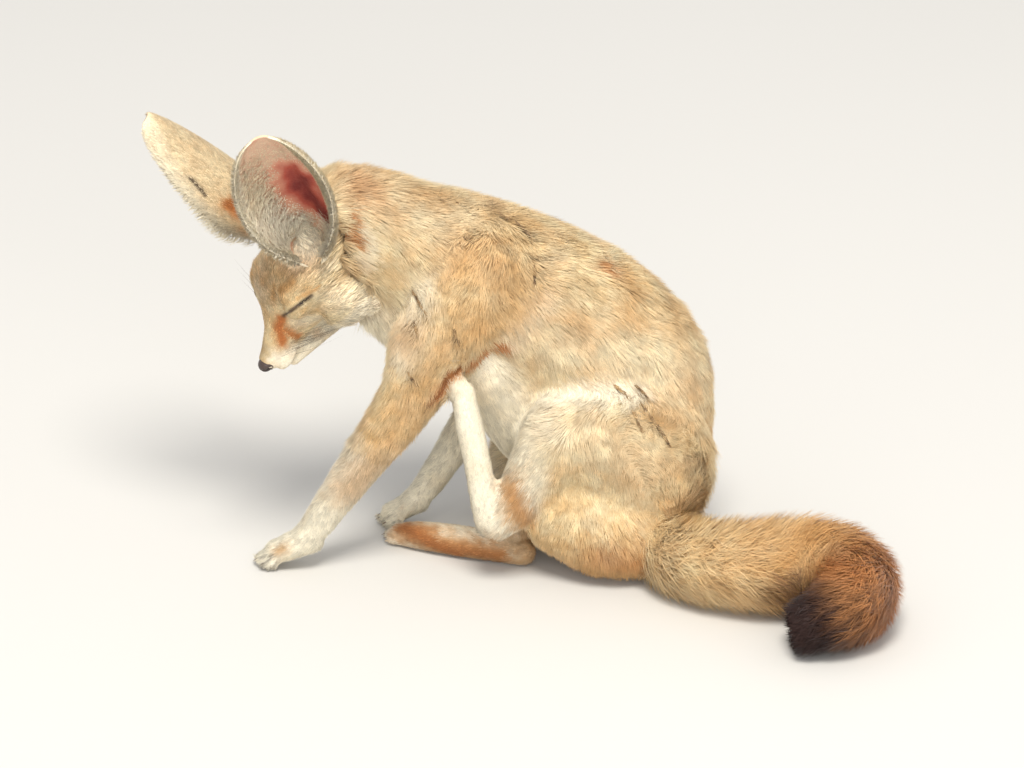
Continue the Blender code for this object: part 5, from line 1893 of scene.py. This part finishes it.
def strandTree():
    tree = bpy.data.node_groups.new("taperedStrands", "GeometryNodeTree")
    face = tree.interface
    face.new_socket("Paths", in_out="INPUT", socket_type="NodeSocketGeometry")
    face.new_socket("Sides", in_out="INPUT", socket_type="NodeSocketInt")
    face.new_socket("Width", in_out="INPUT", socket_type="NodeSocketFloat")
    face.new_socket("Finish", in_out="INPUT", socket_type="NodeSocketMaterial")
    face.new_socket("Strands", in_out="OUTPUT", socket_type="NodeSocketGeometry")

    def node(kind, values=None, **settings):
        made = tree.nodes.new(kind)
        for key, value in settings.items():
            setattr(made, key, value)
        for key, value in (values or {}).items():
            if isinstance(value, bpy.types.NodeSocket):
                tree.links.new(value, made.inputs[key])
            else:
                made.inputs[key].default_value = value
        return made

    given = node("NodeGroupInput")
    curve = node("GeometryNodeMeshToCurve", {"Mesh": given.outputs["Paths"]})
    girth = node("GeometryNodeInputNamedAttribute", {"Name": "girth"}, data_type="FLOAT")
    ring = node("GeometryNodeCurvePrimitiveCircle", {"Resolution": given.outputs["Sides"]})
    tree.links.new(given.outputs["Width"], ring.inputs["Radius"])
    shape = {"Curve": curve.outputs[0], "Profile Curve": ring.outputs[0], "Scale": girth.outputs[0]}
    tube = node("GeometryNodeCurveToMesh", {**shape, "Fill Caps": True})
    smooth = node("GeometryNodeSetShadeSmooth", {"Geometry": tube.outputs[0]})
    real = node("GeometryNodeRealizeInstances", {"Geometry": smooth.outputs[0]})
    finish = {"Geometry": real.outputs[0], "Material": given.outputs["Finish"]}
    paint = node("GeometryNodeSetMaterial", finish)
    node("NodeGroupOutput", {"Strands": paint.outputs[0]})
    return tree


taperedStrands = strandTree()


def strandPiece(name, paths, width, material, sides=6):
    # paths are lists of points with a girth each, 1 being the full width, in metres
    points, edges, girths = [], [], []
    for path in paths:
        edges += [(len(points) + k, len(points) + k + 1) for k in range(len(path) - 1)]
        points += [point for point, girth in path]
        girths += [girth for point, girth in path]
    mesh = bpy.data.meshes.new(name)
    mesh.from_pydata([tuple(p) for p in points], edges, [])
    layer = mesh.attributes.new("girth", "FLOAT", "POINT")
    layer.data.foreach_set("value", np.array(girths, np.float32))
    obj = linked(bpy.data.objects.new(name, mesh))
    made = obj.modifiers.new("strands", "NODES")
    made.node_group = taperedStrands
    inputs = {"Sides": sides, "Width": width * mm, "Finish": material}
    for item in taperedStrands.interface.items_tree:
        if item.in_out == "INPUT" and item.name in inputs:
            made[item.identifier] = inputs[item.name]
    settle(obj)
    finishPiece(obj, material)


def strandPaint(name, root, tip, roughness):
    paint = Paint(name, Roughness=roughness, Specular_IOR_Level=0.5)
    fine = paint.noise(0.0012, 3.0, 0.6)
    patch = paint.noise(0.008, 2.0, 0.5)
    return paint.feed(
        Base_Color=paint.blend(paint.spread(patch, 0.35, 0.65), root, tip),
        Roughness=paint.spread(fine, 0.2, 0.8, roughness - 0.08, roughness + 0.1),
        Normal=paint.bump(fine, 0.0002, 0.4),
    )


whiskerPlan = {
    "seed": 151,
    "rows": [(-1.0, -0.2, 4), (-1.35, -0.42, 5), (-1.7, -0.62, 5), (-1.5, -0.8, 4)],
    "length": (18.0, 44.0),
    "width": 0.08,
    "brow": [(-3.3, 1.0, 1.9), (-3.6, 1.2, 2.1), (-3.9, 1.3, 2.2)],
    "browLength": (12, 20),
    "sink": 0.4,
    "droop": 0.35,
    "floor": 0.8,
}


def whiskerPaths():
    rng = np.random.default_rng(whiskerPlan["seed"])
    paths = []
    for side in (1, -1):
        for x, z, count in whiskerPlan["rows"]:
            for k in range(count):
                back = x - 0.32 * k
                start = fromHead([[back, side * (0.75 + 0.12 * k), z - 0.05 * k]])[0]
                root, normal = head.closest(start)
                lie = headPlace[:3, :3] @ np.array([-1.0, side * 0.75, -0.3 + rng.uniform(-0.15, 0.2)])
                lie = unit(lie + normal * 0.5)
                droop = unit(headPlace[:3, :3] @ np.array([-1.0, 0.0, -0.35]))
                length = rng.uniform(*whiskerPlan["length"]) * (0.5 + 0.5 * (k + 1) / count) * mm
                path = []
                for t in np.linspace(0, 1, 9):
                    place = root - normal * whiskerPlan["sink"] * mm + lie * length * t
                    place = place + droop * length * whiskerPlan["droop"] * t * t
                    place[2] = max(place[2], whiskerPlan["floor"] * mm)
                    path.append((place, max(0.12, 1 - t**1.3)))
                paths.append(path)
        for place in whiskerPlan["brow"]:
            start = fromHead([[place[0], side * place[1], place[2]]])[0]
            root, normal = head.closest(start)
            lie = unit(headPlace[:3, :3] @ np.array([-1.0, side * 0.2, 0.2]) + normal * 1.1)
            length = rng.uniform(*whiskerPlan["browLength"]) * mm
            path = [(root + lie * length * t, max(0.15, 1 - t)) for t in np.linspace(0, 1, 6)]
            paths.append(path)
    return paths


print("scene: whiskers and lashes")
whiskerMaterial = strandPaint("whiskerHorn", rgb(48, 36, 30), rgb(104, 84, 68), 0.4)
strandPiece("whiskers", whiskerPaths(), whiskerPlan["width"], whiskerMaterial)

lashPlan = {
    "count": 46, "length": 2.6, "width": 0.07, "seed": 152,
    "rimGirth": 5.5, "rimWave": 0.25, "rimWaves": 23.0, "rimLift": 0.1,
}


def lashPaths():
    # the dark rims of the closed lids, and the lashes that stand out from them
    rng = np.random.default_rng(lashPlan["seed"])
    paths = []
    slit = smoothRows([(*p, 0, 0) for p in headPlan["slit"]], 8)[:, :3]
    for side in (1, -1):
        line = slit * [1, side, 1]
        rim = []
        for k, place in enumerate(line):
            found, normal = head.closest(fromHead([place])[0])
            share = k / (len(line) - 1)
            girth = lashPlan["rimGirth"] * (0.1 + 0.9 * math.sin(math.pi * min(0.98, share + 0.02)) ** 0.8)
            girth *= 1 + lashPlan["rimWave"] * math.sin(lashPlan["rimWaves"] * share)
            rim.append((found + normal * lashPlan["rimLift"] * mm, girth))
        paths.append(rim)
        for k in range(lashPlan["count"]):
            share = 0.12 + 0.86 * (k + rng.uniform(-0.3, 0.3)) / lashPlan["count"]
            at = min(max(share, 0), 1) * (len(line) - 1)
            low = min(int(at), len(line) - 2)
            place = line[low] + (line[low + 1] - line[low]) * (at - low)
            root, normal = head.closest(fromHead([place])[0])
            down = headPlace[:3, :3] @ np.array([-0.35 + 0.5 * share, side * 0.35, -1.0])
            lie = unit(down / headPlan["size"] + normal * 0.75)
            length = lashPlan["length"] * mm * rng.uniform(0.6, 1.1)
            path = [
                (root + lie * length * t + normal * 0.0006 * t * t, max(0.2, 1 - t))
                for t in np.linspace(0, 1, 4)
            ]
            paths.append(path)
    return paths


strandPiece("lashesAndLidRims", lashPaths(), lashPlan["width"], whiskerMaterial)

# Claws: short curved horn at the end of each toe, four to a paw. A paw is given by the middle of its toe
# tips, the way they point, and the claws' spacing in centimetres and drop as a share of their length.

clawPlan = {
    "width": 0.55,
    "length": 4.2,
    "sink": 1.5,
    "floor": 0.9,
    "paws": [
        {"tips": (-20.3, 0.5, 0.62), "forward": (-1.0, 0.05, 0), "spacing": 0.62, "drop": 0.55},
        {"tips": (-13.2, 5.6, 0.55), "forward": (-1.0, 0.05, 0), "spacing": 0.55, "drop": 0.5},
        {"tips": (-12.9, 3.85, 0.5), "forward": (-0.9, 0.42, 0), "spacing": 0.5, "drop": 0.4},
    ],
}


def clawPaths():
    paths = []
    down = np.array([0.0, 0.0, -1.0])
    for paw in clawPlan["paws"]:
        forward = unit(np.array(paw["forward"], float))
        across = unit(np.cross(forward, down))
        for k, back in ((-1.5, 0.45), (-0.5, 0.0), (0.5, 0.0), (1.5, 0.45)):
            aim = np.array(paw["tips"]) + across * k * paw["spacing"] - forward * back
            root = body.closest(aim * cm)[0] - forward * clawPlan["sink"] * mm
            path = []
            for t in np.linspace(0, 1, 7):
                place = root + forward * t * clawPlan["length"] * mm
                place = place + down * paw["drop"] * clawPlan["length"] * mm * t * t
                place[2] = max(place[2], clawPlan["floor"] * mm)
                path.append((place, max(0.08, 1 - t**1.5)))
            paths.append(path)
    return paths


clawMaterial = strandPaint("clawHorn", rgb(66, 48, 38), rgb(112, 88, 68), 0.35)
strandPiece("claws", clawPaths(), clawPlan["width"], clawMaterial, sides=10)

# Studio

print("scene: studio")
half = studio["floorSize"] / 2
floor = linked(bpy.data.objects.new("floor", meshFrom(
    "floor", [(-half, -half, 0), (half, -half, 0), (half, half, 0), (-half, half, 0)], [(0, 1, 2, 3)])))
floorPaint = Paint("paleFloor", Roughness=0.85, Specular_IOR_Level=0.2)
floorTone = floorPaint.noise(0.6, 2.0)
floor.data.materials.append(floorPaint.feed(Base_Color=floorPaint.blend(
    floorTone, studio["floorColour"], studio["floorTint"])))

world = bpy.data.worlds.new("studioSky")
world.use_nodes = True
world.node_tree.nodes["Background"].inputs["Color"].default_value = studio["skyColour"]
world.node_tree.nodes["Background"].inputs["Strength"].default_value = studio["skyStrength"]
bpy.context.scene.world = world
addLamp("keyLamp", studio["keyPlace"], studio["keySize"], studio["keyPower"], studio["keyColour"])
addLamp("fillLamp", studio["fillPlace"], studio["fillSize"], studio["fillPower"], studio["fillColour"])
bpy.context.scene.view_settings.view_transform = "Standard"
addCamera()

print("scene: done,", len(pieces), "pieces")
